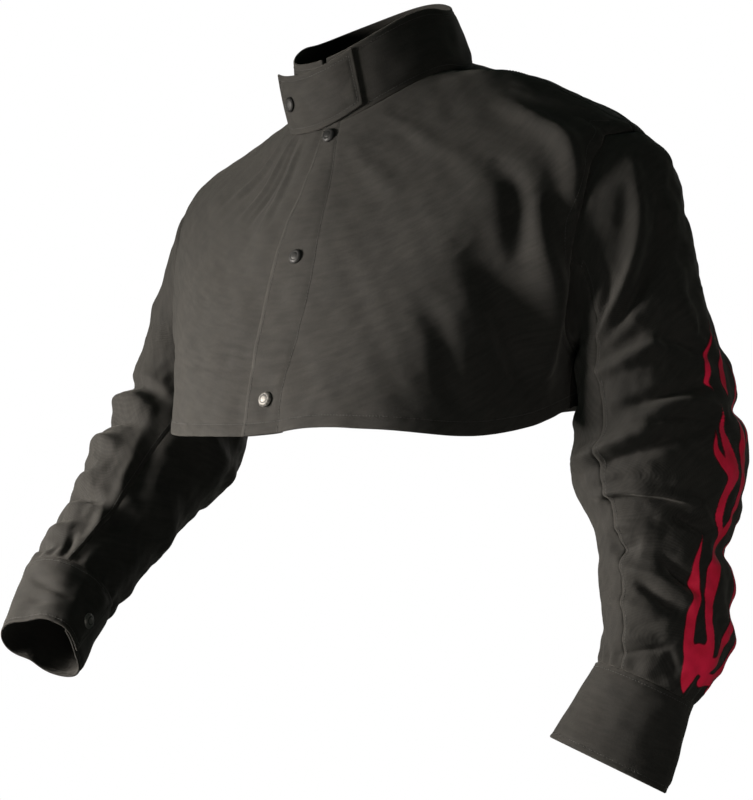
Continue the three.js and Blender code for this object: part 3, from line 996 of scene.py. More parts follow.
def joined(sheets: Sequence[Sheet]) -> Sheet:
    """Joins sheets without sewing them.

    Args:
        sheets: The sheets.

    Returns:
        All of them as one.
    """
    starts = np.cumsum([0] + [len(sheet.points) for sheet in sheets[:-1]])
    stacked = [np.concatenate(values) for values in zip(*(sheet.values() for sheet in sheets))]
    faces = [sheet.faces + start for sheet, start in zip(sheets, starts)]
    return Sheet(*stacked, np.concatenate(faces))


def side_distance(tree: BVHTree, points: Array, box: tuple[Array, Array], reach: float = 40) -> Array:
    """Distances of points from a sheet, below 0 on its inner side.

    Args:
        tree: The sheet's search tree.
        points: The points.
        box: The sheet's lowest and highest corners.
        reach: How far outside the box points are still measured; others count as far outside.

    Returns:
        The distances, in millimetres.
    """
    distances = np.full(len(points), 4 * reach, float)
    near = np.all((points > box[0] - reach) & (points < box[1] + reach), axis=1)
    for k in np.flatnonzero(near):
        point = Vector(points[k])
        found, normal, _, distance = tree.find_nearest(point)
        distances[k] = math.copysign(distance, (point - found).dot(normal))
    return distances


class Tap:
    """An output of a material's node, for writing shader maths as expressions."""

    def __init__(self, board: "NodeBoard", socket: bpy.types.NodeSocket | None) -> None:
        """Wraps a socket of a board's node."""
        self.board = board
        self.socket = socket

    def _maths(self, operation: str, *values: Any) -> "Tap":
        """A Math node of an operation on values."""
        return self.board.node("ShaderNodeMath", {"operation": operation}, dict(enumerate(values)))

    def __add__(self, other: Any) -> "Tap":
        """self + other."""
        return self._maths("ADD", self, other)

    __radd__ = __add__

    def __mul__(self, other: Any) -> "Tap":
        """self * other."""
        return self._maths("MULTIPLY", self, other)

    __rmul__ = __mul__

    def __sub__(self, other: Any) -> "Tap":
        """self - other."""
        return self._maths("SUBTRACT", self, other)

    def __rsub__(self, other: Any) -> "Tap":
        """other - self."""
        return self._maths("SUBTRACT", other, self)

    def __pow__(self, other: Any) -> "Tap":
        """self to the power of other."""
        return self._maths("POWER", self, other)

    def wave(self) -> "Tap":
        """The sine of an angle in radians, brought between 0 and 1."""
        return self._maths("SINE", self) * 0.5 + 0.5

    def clamped(self) -> "Tap":
        """The value kept from 0 to 1."""
        return self.board.node("ShaderNodeClamp", {}, {"Value": self})

    def ramp(self, low: float, high: float, start: float = 0.0, end: float = 1.0) -> "Tap":
        """The value mapped smoothly from low and high to start and end."""
        inputs = {"Value": self, "From Min": low, "From Max": high, "To Min": start, "To Max": end}
        return self.board.node("ShaderNodeMapRange", {"interpolation_type": "SMOOTHSTEP"}, inputs)


class NodeBoard:
    """The nodes of one material."""

    def __init__(self, name: str) -> None:
        """Makes a material with no nodes.

        Args:
            name: The material's name.
        """
        self.material = bpy.data.materials.new(name)
        self.material.use_nodes = True
        self.tree = self.material.node_tree
        self.tree.nodes.clear()

    def node(
        self, kind: str, settings: dict[str, Any], inputs: dict[str | int, Any], output: str | int = 0
    ) -> Tap:
        """Adds a node.

        Args:
            kind: Blender's type of node.
            settings: The node's settings, such as its operation.
            inputs: Values or taps by the sockets' names or numbers.
            output: The name or number of the output.

        Returns:
            That output, or one with no socket where the node has none.
        """
        made = self.tree.nodes.new(kind)
        for key, value in settings.items():
            setattr(made, key, value)
        for key, value in inputs.items():
            if isinstance(value, Tap):
                self.tree.links.new(value.socket, made.inputs[key])
            elif isinstance(value, tuple) and len(value) == 3 and made.inputs[key].type == "RGBA":
                made.inputs[key].default_value = (*value, 1)
            else:
                made.inputs[key].default_value = value
        return Tap(self, made.outputs[output] if made.outputs else None)

    def mixed(self, share: Any, one: Any, other: Any) -> Tap:
        """A colour between two, by a share of the other."""
        return self.node("ShaderNodeMix", {"data_type": "RGBA"}, {0: share, 6: one, 7: other}, 2)

    def noise(self, place: Tap, scale: float, detail: float, roughness: float = 0.5) -> Tap:
        """Noise of a scale at a place, about 0.5."""
        inputs = {"Vector": place, "Scale": scale, "Detail": detail, "Roughness": roughness}
        return self.node("ShaderNodeTexNoise", {}, inputs)

    def place(self) -> Tap:
        """The place in the shared frame, in metres."""
        return self.node("ShaderNodeTexCoord", {}, {}, "Object")

    def value(self, name: str) -> Tap:
        """A value that the mesh carries at its points."""
        return self.node("ShaderNodeAttribute", {"attribute_name": name}, {}, "Fac")

    def flat(self) -> tuple[Tap, ...]:
        """The place on the cloth as it lies flat, in millimetres."""
        return self.split(self.node("ShaderNodeUVMap", {"uv_map": "flat"}, {}))

    def split(self, place: Tap) -> tuple[Tap, ...]:
        """The x and y of a place."""
        return tuple(self.node("ShaderNodeSeparateXYZ", {}, {0: place}, axis) for axis in ("X", "Y"))

    def bump(self, height: Tap, strength: float, distance: float) -> Tap:
        """A normal that follows a height; distance in metres."""
        return self.node("ShaderNodeBump", {}, {"Height": height, "Strength": strength, "Distance": distance})

    def finished(self, inputs: dict[str, Any]) -> bpy.types.Material:
        """Ends the board in a Principled shader with these inputs, and gives the material."""
        return self.ended(self.node("ShaderNodeBsdfPrincipled", {}, inputs))

    def glow(self) -> Tap:
        """A plain white glow."""
        return self.node("ShaderNodeEmission", {}, {"Color": (1, 1, 1), "Strength": 1.0})

    def ended(self, surface: Tap) -> bpy.types.Material:
        """Ends the board in a surface, and gives the material."""
        self.node("ShaderNodeOutputMaterial", {}, {"Surface": surface})
        return self.material


@dataclass(frozen=True)
class ClothFinish:
    """Heavy flame-resistant cotton, dyed black: a close twill with soft mottling and rubbed edges.

    Attributes:
        name: The material's name.
        dark: Colour in the hollows of the weave.
        light: Colour of the raised threads.
        rubbed: Colour of rubbed edges and lint.
        rib: Width of a twill rib, in millimetres.
        pick: Width of a crossing thread, in millimetres.
        streak: How often streaks come along and across the cloth, in each millimetre.
        relief: Strength of the weave's bumps.
        relief_depth: Their depth, in metres.
    """

    name: str = "black_twill"
    dark: Colour = (0.0080, 0.0079, 0.0073)
    light: Colour = (0.0260, 0.0246, 0.0222)
    rubbed: Colour = (0.029, 0.027, 0.024)
    rib: float = TWILL_RIB
    pick: float = 0.62
    streak: tuple[float, float] = (0.035, 0.17)
    relief: float = 0.60
    relief_depth: float = 0.00036

    def material(self) -> bpy.types.Material:
        """Makes the material.

        Returns:
            The material.
        """
        board = NodeBoard(self.name)
        place = board.place()
        u, v = board.flat()
        waver = board.noise(place, 180, 2) * 1.6
        ribs = ((u + v * TWILL_SLANT) * (TAU / self.rib) + waver).wave()
        picks = (v * (TAU / self.pick) + waver * 0.7).wave()
        weave = ribs * 0.65 + ribs * picks * 0.35
        mottle = board.noise(place, 26, 5, 0.6).ramp(0.36, 0.66)
        long, wide = self.streak
        across = board.node("ShaderNodeCombineXYZ", {}, {"X": u * long, "Y": v * wide})
        streak = board.noise(across, 1.0, 4, 0.7).ramp(0.30, 0.70)
        slub = board.noise(place, 430, 4, 0.75).ramp(0.28, 0.72)
        lint = board.noise(place, 1500, 2).ramp(0.70, 0.78) * 0.35
        worn = board.value("worn") * board.noise(place, 240, 3).ramp(0.35, 0.7)
        tone = (weave * 0.28 + mottle * 0.18 + slub * 0.30 + streak * 0.36 - 0.06).clamped()
        colour = board.mixed(tone, self.dark, self.light)
        colour = board.mixed((worn * 0.55 + lint).clamped(), colour, self.rubbed)
        height = weave * 0.55 + slub * 0.45
        return board.finished({
            "Base Color": colour,
            "Roughness": (0.80 + mottle * 0.08 + slub * 0.08).clamped(),
            "Normal": board.bump(height, self.relief, self.relief_depth),
            "Specular IOR Level": 0.22,
            "Sheen Weight": 0.10,
            "Sheen Roughness": 0.45,
            "Sheen Tint": (0.62, 0.60, 0.55),
        })


@dataclass(frozen=True)
class PrintFinish:
    """Red ink printed on the cloth, darker at its outline.

    Attributes:
        name: The material's name.
        red: Main colour.
        deep: A darker red, mixed in by soft random clouds and fine grain.
        outline: Colour of the outline.
    """

    name: str = "flame_print"
    red: Colour = (0.90, 0.018, 0.080)
    deep: Colour = (0.62, 0.010, 0.040)
    outline: Colour = (0.045, 0.004, 0.006)

    def material(self) -> bpy.types.Material:
        """Makes the material.

        Returns:
            The material.
        """
        board = NodeBoard(self.name)
        place = board.place()
        u, v = board.flat()
        ribs = ((u + v * TWILL_SLANT) * (TAU / TWILL_RIB)).wave()
        cloud = board.noise(place, 34, 4, 0.55).ramp(0.34, 0.66)
        grain = board.noise(place, 900, 2)
        inner = board.value("inset").ramp(0.35, 1.5)
        colour = board.mixed((cloud * 0.6 + grain * 0.3).clamped(), self.deep, self.red)
        colour = board.mixed(inner, self.outline, colour)
        return board.finished({
            "Base Color": colour,
            "Roughness": (0.62 + grain * 0.16).clamped(),
            "Normal": board.bump(ribs * 0.6 + grain * 0.4, 0.25, 0.00018),
            "Specular IOR Level": 0.20,
            "Sheen Weight": 0.05,
        })


@dataclass(frozen=True)
class ThreadFinish:
    """Black sewing thread.

    Attributes:
        name: The material's name.
        dark: Colour between the plies.
        light: Colour of the plies.
    """

    name: str = "black_thread"
    dark: Colour = (0.006, 0.006, 0.005)
    light: Colour = (0.020, 0.019, 0.017)

    def material(self) -> bpy.types.Material:
        """Makes the material.

        Returns:
            The material.
        """
        board = NodeBoard(self.name)
        fuzz = board.noise(board.place(), 2600, 2)
        return board.finished({
            "Base Color": board.mixed(fuzz.ramp(0.35, 0.65), self.dark, self.light),
            "Roughness": (0.48 + fuzz * 0.2).clamped(),
            "Specular IOR Level": 0.4,
            "Sheen Weight": 0.1,
        })


@dataclass(frozen=True)
class SnapFinish:
    """Black enamelled steel, rubbed a little on its crown.

    Attributes:
        name: The material's name.
        enamel: Colour of the enamel.
        steel: Colour where it is rubbed.
    """

    name: str = "snap_enamel"
    enamel: Colour = (0.006, 0.006, 0.006)
    steel: Colour = (0.15, 0.145, 0.135)

    def material(self) -> bpy.types.Material:
        """Makes the material.

        Returns:
            The material.
        """
        board = NodeBoard(self.name)
        place = board.place()
        scuff = board.noise(place, 420, 5, 0.7)
        rubbed = (board.value("crown") * 0.6 + scuff).ramp(0.72, 1.10)
        pits = board.noise(place, 1800, 2)
        return board.finished({
            "Base Color": board.mixed(rubbed, self.enamel, self.steel),
            "Metallic": rubbed * 0.7,
            "Roughness": (0.44 + scuff * 0.16 + pits * 0.06).clamped(),
            "Specular IOR Level": 0.3,
            "Normal": board.bump(pits, 0.12, 0.0001),
        })


@dataclass(frozen=True)
class FloorFinish:
    """A plain pale floor that turns as bright as the backdrop away from the object.

    Attributes:
        name: The material's name.
        pale: Colour of floor and backdrop.
        near: Distance from the middle where it begins to brighten, in metres.
        far: Distance where it is as bright as the backdrop.
        least: Its least share of the backdrop's brightness.
    """

    name: str = "pale_floor"
    pale: Colour = (0.86, 0.86, 0.86)
    near: float = 0.5
    far: float = 1.6
    least: float = 0.86

    def material(self) -> bpy.types.Material:
        """Makes the material.

        Returns:
            The material.
        """
        board = NodeBoard(self.name)
        x, y = board.split(board.place())
        away = ((x * x + y * y) ** 0.5).ramp(self.near, self.far, self.least)
        lit = board.node("ShaderNodeBsdfDiffuse", {}, {"Color": self.pale})
        return board.ended(board.node("ShaderNodeMixShader", {}, {0: away, 1: lit, 2: board.glow()}))


@dataclass(frozen=True)
class BackdropFinish:
    """A plain white backdrop.

    Attributes:
        name: The material's name.
    """

    name: str = "white_backdrop"

    def material(self) -> bpy.types.Material:
        """Makes the material."""
        board = NodeBoard(self.name)
        return board.ended(board.glow())


@dataclass
class Finishes:
    """The materials of the object, each made once.

    Attributes:
        cloth: Of the cloth.
        flame: Of the printed flames.
        thread: Of the stitches.
        snap: Of the snaps.
    """

    cloth: bpy.types.Material = field(default_factory=ClothFinish().material)
    flame: bpy.types.Material = field(default_factory=PrintFinish().material)
    thread: bpy.types.Material = field(default_factory=ThreadFinish().material)
    snap: bpy.types.Material = field(default_factory=SnapFinish().material)


def new_object(
    name: str,
    points: Array,
    faces: Array,
    material: bpy.types.Material,
    flat: Array | None = None,
    values: dict[str, Array] | None = None,
) -> bpy.types.Object:
    """Makes a smooth mesh object.

    Args:
        name: The object's name.
        points: Points in millimetres.
        faces: Triangles.
        material: Its finish.
        flat: The points' places on the flat cloth, in millimetres.
        values: Values at the points, by name.

    Returns:
        The object, in the scene.
    """
    mesh = bpy.data.meshes.new(name)
    mesh.vertices.add(len(points))
    mesh.vertices.foreach_set("co", (points * MM).astype(np.float32).ravel())
    mesh.loops.add(faces.size)
    mesh.loops.foreach_set("vertex_index", faces.astype(np.int32).ravel())
    mesh.polygons.add(len(faces))
    mesh.polygons.foreach_set("loop_start", np.arange(0, faces.size, 3, dtype=np.int32))
    mesh.polygons.foreach_set("use_smooth", np.ones(len(faces), bool))
    if flat is not None:
        layer = mesh.uv_layers.new(name="flat")
        layer.data.foreach_set("uv", flat[faces.ravel()].astype(np.float32).ravel())
    for key, value in (values or {}).items():
        attribute = mesh.attributes.new(key, "FLOAT", "POINT")
        attribute.data.foreach_set("value", value.astype(np.float32))
    mesh.update(calc_edges=True)
    mesh.validate()
    mesh.materials.append(material)
    made = bpy.data.objects.new(name, mesh)
    bpy.context.scene.collection.objects.link(made)
    log.info("%s: %d triangles", name, len(faces))
    return made


@dataclass(frozen=True)
class Hem:
    """How a sheet of cloth gets its thickness and round edges.

    Attributes:
        thickness: The cloth's thickness, in millimetres.
        bulge: How far an edge bulges, as a share of the thickness.
        rubbed: Distance from an edge over which the cloth is rubbed, in millimetres.
        inside: How rubbed the inner face is, as a share of the outer one.
    """

    thickness: float = CLOTH
    bulge: float = 0.4
    rubbed: float = 2.6
    inside: float = 0.3

    def shell(self, sheet: Sheet, rise: float = 0.0) -> tuple[Array, Array, Array, Array]:
        """Gives a sheet its thickness.

        Args:
            sheet: The outer face.
            rise: How far the outer face stands above the sheet, in millimetres.

        Returns:
            Points, triangles, flat places and how rubbed each point is.
        """
        n = len(sheet.points)
        outer = sheet.points + sheet.outward * rise
        inner = outer - sheet.outward * self.thickness
        rim = sheet.rim()
        a, b = rim.T
        away = np.zeros_like(outer)
        edge_side = unit(np.cross(outer[b] - outer[a], sheet.outward[a] + sheet.outward[b]))
        np.add.at(away, a, edge_side)
        np.add.at(away, b, edge_side)
        ends = np.unique(rim)
        ring = np.zeros(n, int)
        ring[ends] = np.arange(len(ends)) + 2 * n
        middle = (outer[ends] + inner[ends]) / 2 + unit(away[ends]) * self.thickness * self.bulge
        ra, rb = ring[a], ring[b]
        edge_faces = ((b, a, ra), (b, ra, rb), (rb, ra, a + n), (rb, a + n, b + n))
        faces = [sheet.faces, sheet.faces[:, ::-1] + n]
        faces += [np.stack(face, axis=-1) for face in edge_faces]
        near = np.exp(-sheet.rim_distance() / self.rubbed)
        flat = np.concatenate([sheet.flat, sheet.flat, sheet.flat[ends]])
        rubbed = np.concatenate([near, near * self.inside, near[ends]])
        return np.concatenate([outer, inner, middle]), np.concatenate(faces), flat, rubbed


@dataclass(frozen=True)
class Stitching:
    """Rows of lock stitches.

    Attributes:
        pitch: Distance between stitches, in millimetres.
        length: A stitch's length.
        thickness: The thread's thickness.
        rings: The thread's rings: place as a share of half its length, size as a share, and rise.
        oval: How much wider than high the thread lies.
        sides: Sides of the thread.
    """

    pitch: float = 3.1
    length: float = 2.5
    thickness: float = 0.62
    rings: Triples = ((-0.7, 0.85, 0.05), (0.0, 1.0, 0.2), (0.7, 0.85, 0.05))
    oval: float = 1.25
    sides: int = 5

    def build(self, name: str, lines: Iterable[Path], material: bpy.types.Material) -> bpy.types.Object:
        """Sews along lines.

        Args:
            name: The object's name.
            lines: Lines on the finished cloth.
            material: The thread's finish.

        Returns:
            All the stitches as one object.
        """
        frames = [self._frames(line) for line in lines if len(line.points) > 2]
        middle, along, up = (np.concatenate([f[k] for f in frames]) for k in range(3))
        shape, faces = self._stitch()
        across = np.cross(up, along)
        axes = np.stack([along, across, up], axis=1)
        points = middle[:, None] + np.einsum("pk,skc->spc", shape, axes)
        starts = (np.arange(len(middle)) * len(shape))[:, None, None]
        all_faces = (faces[None] + starts).reshape(-1, 3)
        return new_object(name, points.reshape(-1, 3), all_faces, material)

    def _frames(self, line: Path) -> tuple[Array, Array, Array]:
        """Spaces stitches along a line.

        Args:
            line: The line.

        Returns:
            The stitches' middles, directions and outward directions.
        """
        length = np.concatenate([[0], np.linalg.norm(np.diff(line.points, axis=0), axis=1).cumsum()])
        if length[-1] < 2 * self.pitch:
            return np.zeros((0, 3)), np.zeros((0, 3)), np.zeros((0, 3))
        count = max(1, int(length[-1] / self.pitch))
        centre = (np.arange(count) + 0.5) * length[-1] / count

        def at(values: Array, place: Array) -> Array:
            """Values along the line at a distance from its start."""
            return np.stack([np.interp(place, length, values[:, k]) for k in range(3)], axis=-1)

        ends = [at(line.points, centre + sign * self.length / 2) for sign in (-1, 1)]
        along = unit(ends[1] - ends[0])
        up = at(line.outward, centre)
        up = unit(up - along * (up * along).sum(axis=-1, keepdims=True))
        return (ends[0] + ends[1]) / 2, along, up

    def _stitch(self) -> tuple[Array, Array]:
        """Shapes one stitch along x, whose ends dip into the cloth at z = 0.

        Returns:
            Its points and triangles.
        """
        half, radius = self.length / 2, self.thickness / 2
        angle = np.arange(self.sides) * TAU / self.sides
        rings = []
        for share, size, rise in self.rings:
            y = np.cos(angle) * radius * size * self.oval
            z = np.sin(angle) * radius * size + rise
            rings.append(np.stack([np.full(self.sides, share * half), y, z], axis=-1))
        tips = np.array([[-half, 0, -radius], [half, 0, -radius]])
        count = self.sides
        faces = []
        for i in range(count):
            j = (i + 1) % count
            for k in (0, count):
                faces += [(i + k, j + k, j + k + count), (i + k, j + k + count, i + k + count)]
            faces += [(3 * count, j, i), (3 * count + 1, i + 2 * count, j + 2 * count)]
        return np.concatenate([*rings, tips]), np.array(faces)


def stand_for(piece: bpy.types.Object, node: str) -> None:
    """Makes a piece ride on the one body in place of a CAD node.

    Args:
        piece: The piece.
        node: The node.
    """
    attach(piece, "root")
    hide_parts(node)


@dataclass(frozen=True)
class Pattern:
    """How a piece of cloth is cut, sewn and held.

    Attributes:
        cut: Its flat piece. Not used.
        hold: How it is held. Not used.
        rests: The pieces that it hangs from or is stretched over. Not used.
        hem: Its thickness and edges.
    """

    cut: Cut
    hold: Hold
    rests: tuple[str, ...]
    hem: Hem = Hem()


@dataclass
class Workshop:
    """What every piece is made with.

    Attributes:
        finishes: The materials.
        stitching: How rows of stitches are sewn.
    """

    finishes: Finishes
    stitching: Stitching = Stitching()

    def cloth(self, node: str, sheet: Sheet, lines: list[Path], pattern: Pattern) -> None:
        """Makes a piece of cloth with its stitches in place of a CAD node.

        Args:
            node: The CAD node that it stands for.
            sheet: Its outer face.
            lines: Lines that are stitched.
            pattern: How it is cut, sewn and held.
        """
        points, faces, flat, rubbed = pattern.hem.shell(sheet)
        worn = {"worn": rubbed}
        piece = new_object(f"{node}_cloth", points, faces, self.finishes.cloth, flat, worn)
        stand_for(piece, node)
        stitches = self.stitching.build(f"{node}_stitches", lines, self.finishes.thread)
        stitches.parent = piece


@dataclass
class Body:
    """The two fronts and the back.

    Attributes:
        lap: Degrees that each front passes the centre line.
        underlap_ramp: Degrees over which the right front sinks under the left one.
        underlap_clear: Degrees before the left front's edge where it has sunk.
        neck_fade: Folds die out within this distance of the neck seam.
        hem: The turned hem, by distance from the neck seam.
        hem_pucker: How its row of stitches puckers.
        facing: Degrees from the centre line to the facing's row of stitches.
        facing_edge: The left front's doubled facing, by distance from that row.
        crease_down: Distance down to the crease left by folding the cape away.
        crease: That crease.
        crease_wander: How far it wanders up and down.
        crease_reach: Degrees from the centre line where it ends, and where it is full.
        side_groove: The side seams.
        armhole_ridge: The ridge of seam allowance beside the armholes.
        armhole_row: The row of stitches beside the armholes.
        edge_row: Distance of the row of stitches from the left front's free edge.
        shoulder_row: Distance of the back's row of stitches from the shoulder seam.
        shoulder_end: Distance down to the shoulder row's end.
        snaps: The front snaps: distance down and how rubbed each is.
        surface: The body's form.
        folds: Its folds.
        swells: Its swells.
    """

    lap: float = 6.5
    underlap_ramp: float = 7
    underlap_clear: float = 1
    neck_fade: float = 25
    hem: SewnEdge = SewnEdge(HEM_ROW, swell=0.30, full=HEM_ROW + 3, depth=0.45, start=HEM_ROW, width=2.4)
    hem_pucker: Pucker = Pucker(0.6, 360 * BODY_DEGREE / 11, 1.0, math.degrees(0.9))
    facing: float = 5
    facing_edge: SewnEdge = SewnEdge(0, swell=0.35, full=2, depth=0.5, start=-1, width=2.2)
    crease_down: float = 284
    crease: Groove = Groove(0.8, 4.5)
    crease_wander: float = 5
    crease_reach: tuple[float, float] = (75, 60)
    side_groove: Groove = Groove(0.7, 3.5)
    armhole_ridge: Groove = Groove(-0.9, 3.5, 4.5)
    armhole_row: Groove = Groove(0.5, 1.8, 8.5)
    edge_row: float = 3.5
    shoulder_row: float = 6
    shoulder_end: float = 230
    snaps: tuple[tuple[float, float], ...] = ((17, 0.1), (163, 0.2), (328, 1.0))
    surface: RingSurface = RingSurface(BODY_RINGS, HEM_WAVES, HEM_WAVE_FROM, -1)
    folds: FoldChart = FoldChart(BODY_FOLDS, BODY_DEGREE)
    swells: tuple[Ripple, ...] = (Ripple(11, 95, 0.6), Ripple(12, 34, 0.25), Ripple(13, 13, 0.10))

    def lift(self, around: Array, down: Array, points: Array) -> Array:
        """How far the cloth stands out from the body's form, in millimetres.

        Args:
            around: Degrees round.
            down: Distance down.
            points: The form's points there.

        Returns:
            The heights.
        """
        height = self.folds.lift(around, down) + swelling(self.swells, points)
        height *= smoothstep(down, 0, self.neck_fade)
        height += self.hem.lift(down, 1 + self.hem_pucker.at(around))
        end, full = self.crease_reach
        front = smoothstep(-np.abs(turned(around, 0)), -end, -full)
        wander = self.crease_wander * np.sin(np.radians(around * 3))
        height -= self.crease.at(down + wander - self.crease_down) * front
        for seam in (SIDE_SEAM, -SIDE_SEAM):
            height -= self.side_groove.at(turned(around, seam) * self.degree_width(down))
        return height

    def degree_width(self, down: Array) -> Array:
        """The width of a degree at the body's sides, in millimetres."""
        return self.surface.rings.at(down)["wide"] * math.pi / 180

    def sunk(self, around: Array) -> Array:
        """How far the right front lies under the body's surface at degrees round."""
        start, end = -self.lap - self.underlap_ramp, -self.lap - self.underlap_clear
        return (CLOTH + LAYER_GAP) * smoothstep(around, start, end)

    def facing_lift(self, around: Array) -> Array:
        """The left front's doubled facing and its row of stitches."""
        return self.facing_edge.lift((self.facing - around) * BODY_DEGREE)

    def panel(self, low: float, high: float) -> Sheet:
        """A panel between two angles, a seam's gap short at each end, before it is cut.

        Args:
            low: First angle, in degrees.
            high: Last angle.

        Returns:
            The panel.
        """
        gap = math.degrees(SEAM_GAP / 2 / BODY_RINGS.rows[-1][1])
        us = spaced(low + gap, high - gap, (high - low) * BODY_DEGREE, CELL)
        sheet = Sheet.over(self.surface, us, spaced(0, HEM_DOWN, HEM_DOWN, CELL))
        height = self.lift(sheet.around, sheet.along, sheet.points)
        if low == -SIDE_SEAM:
            height -= self.sunk(sheet.around)
        if low == -self.lap:
            height += self.facing_lift(sheet.around)
        sheet.lift(height)
        return sheet

    def panels(self) -> dict[str, Sheet]:
        """Lays out the three panels before the armholes are cut.

        Returns:
            The panels by their CAD nodes.
        """
        return {
            "front_left": self.panel(-self.lap, SIDE_SEAM),
            "front_right": self.panel(-SIDE_SEAM, self.lap),
            "back": self.panel(SIDE_SEAM, 360 - SIDE_SEAM),
        }

    def build(self, shop: Workshop, panels: dict[str, Sheet], sleeves: Sequence["Sleeve"]) -> None:
        """Cuts the armholes and makes the panels.

        Args:
            shop: What they are made with.
            panels: The panels.
            sleeves: The sleeves that go through the armholes.
        """
        for node, sheet in panels.items():
            seam = np.full(len(sheet.points), np.inf)
            for sleeve in sleeves:
                seam = np.minimum(seam, sleeve.plug_distance(sheet.points) - SEAM_GAP)
            sheet.lift(-self.armhole_ridge.at(seam) - self.armhole_row.at(seam))
            sheet.chart = np.concatenate([sheet.chart, seam[:, None]], axis=1)
            sheet = sheet.clipped(seam)
            cut = BACK_CUT if node == "back" else FRONT_CUT
            shop.cloth(node, sheet, self.rows(node, sheet), Pattern(cut, Hold.HUNG, ("collar_cloth",)))

    def rows(self, node: str, sheet: Sheet) -> list[Path]:
        """Finds a panel's rows of stitches: hem, armhole, facing, free edge and shoulder.

        Args:
            node: The panel's CAD node.
            sheet: The panel.

        Returns:
            The rows.
        """
        lines = sheet.contour(sheet.along, self.hem.row)
        lines += sheet.contour(sheet.chart[:, 2], self.armhole_row.place)
        if node == "front_left":
            lines += sheet.contour(sheet.around, self.facing)
            lines += sheet.contour((sheet.around + self.lap) * BODY_DEGREE, self.edge_row)
        if node == "back":
            inside = np.minimum(sheet.around - SIDE_SEAM, 360 - SIDE_SEAM - sheet.around)
            inside = inside * self.degree_width(sheet.along)
            shoulder = np.where(sheet.along < self.shoulder_end, inside, FAR)
            lines += sheet.contour(shoulder, self.shoulder_row)
        return lines

    def spot(self, down: float) -> Path:
        """The place of a snap on the left front's centre line, with its outward direction."""
        return spot_on(self.surface, 0, down, lambda u, v, p: self.lift(u, v, p) + self.facing_lift(u))


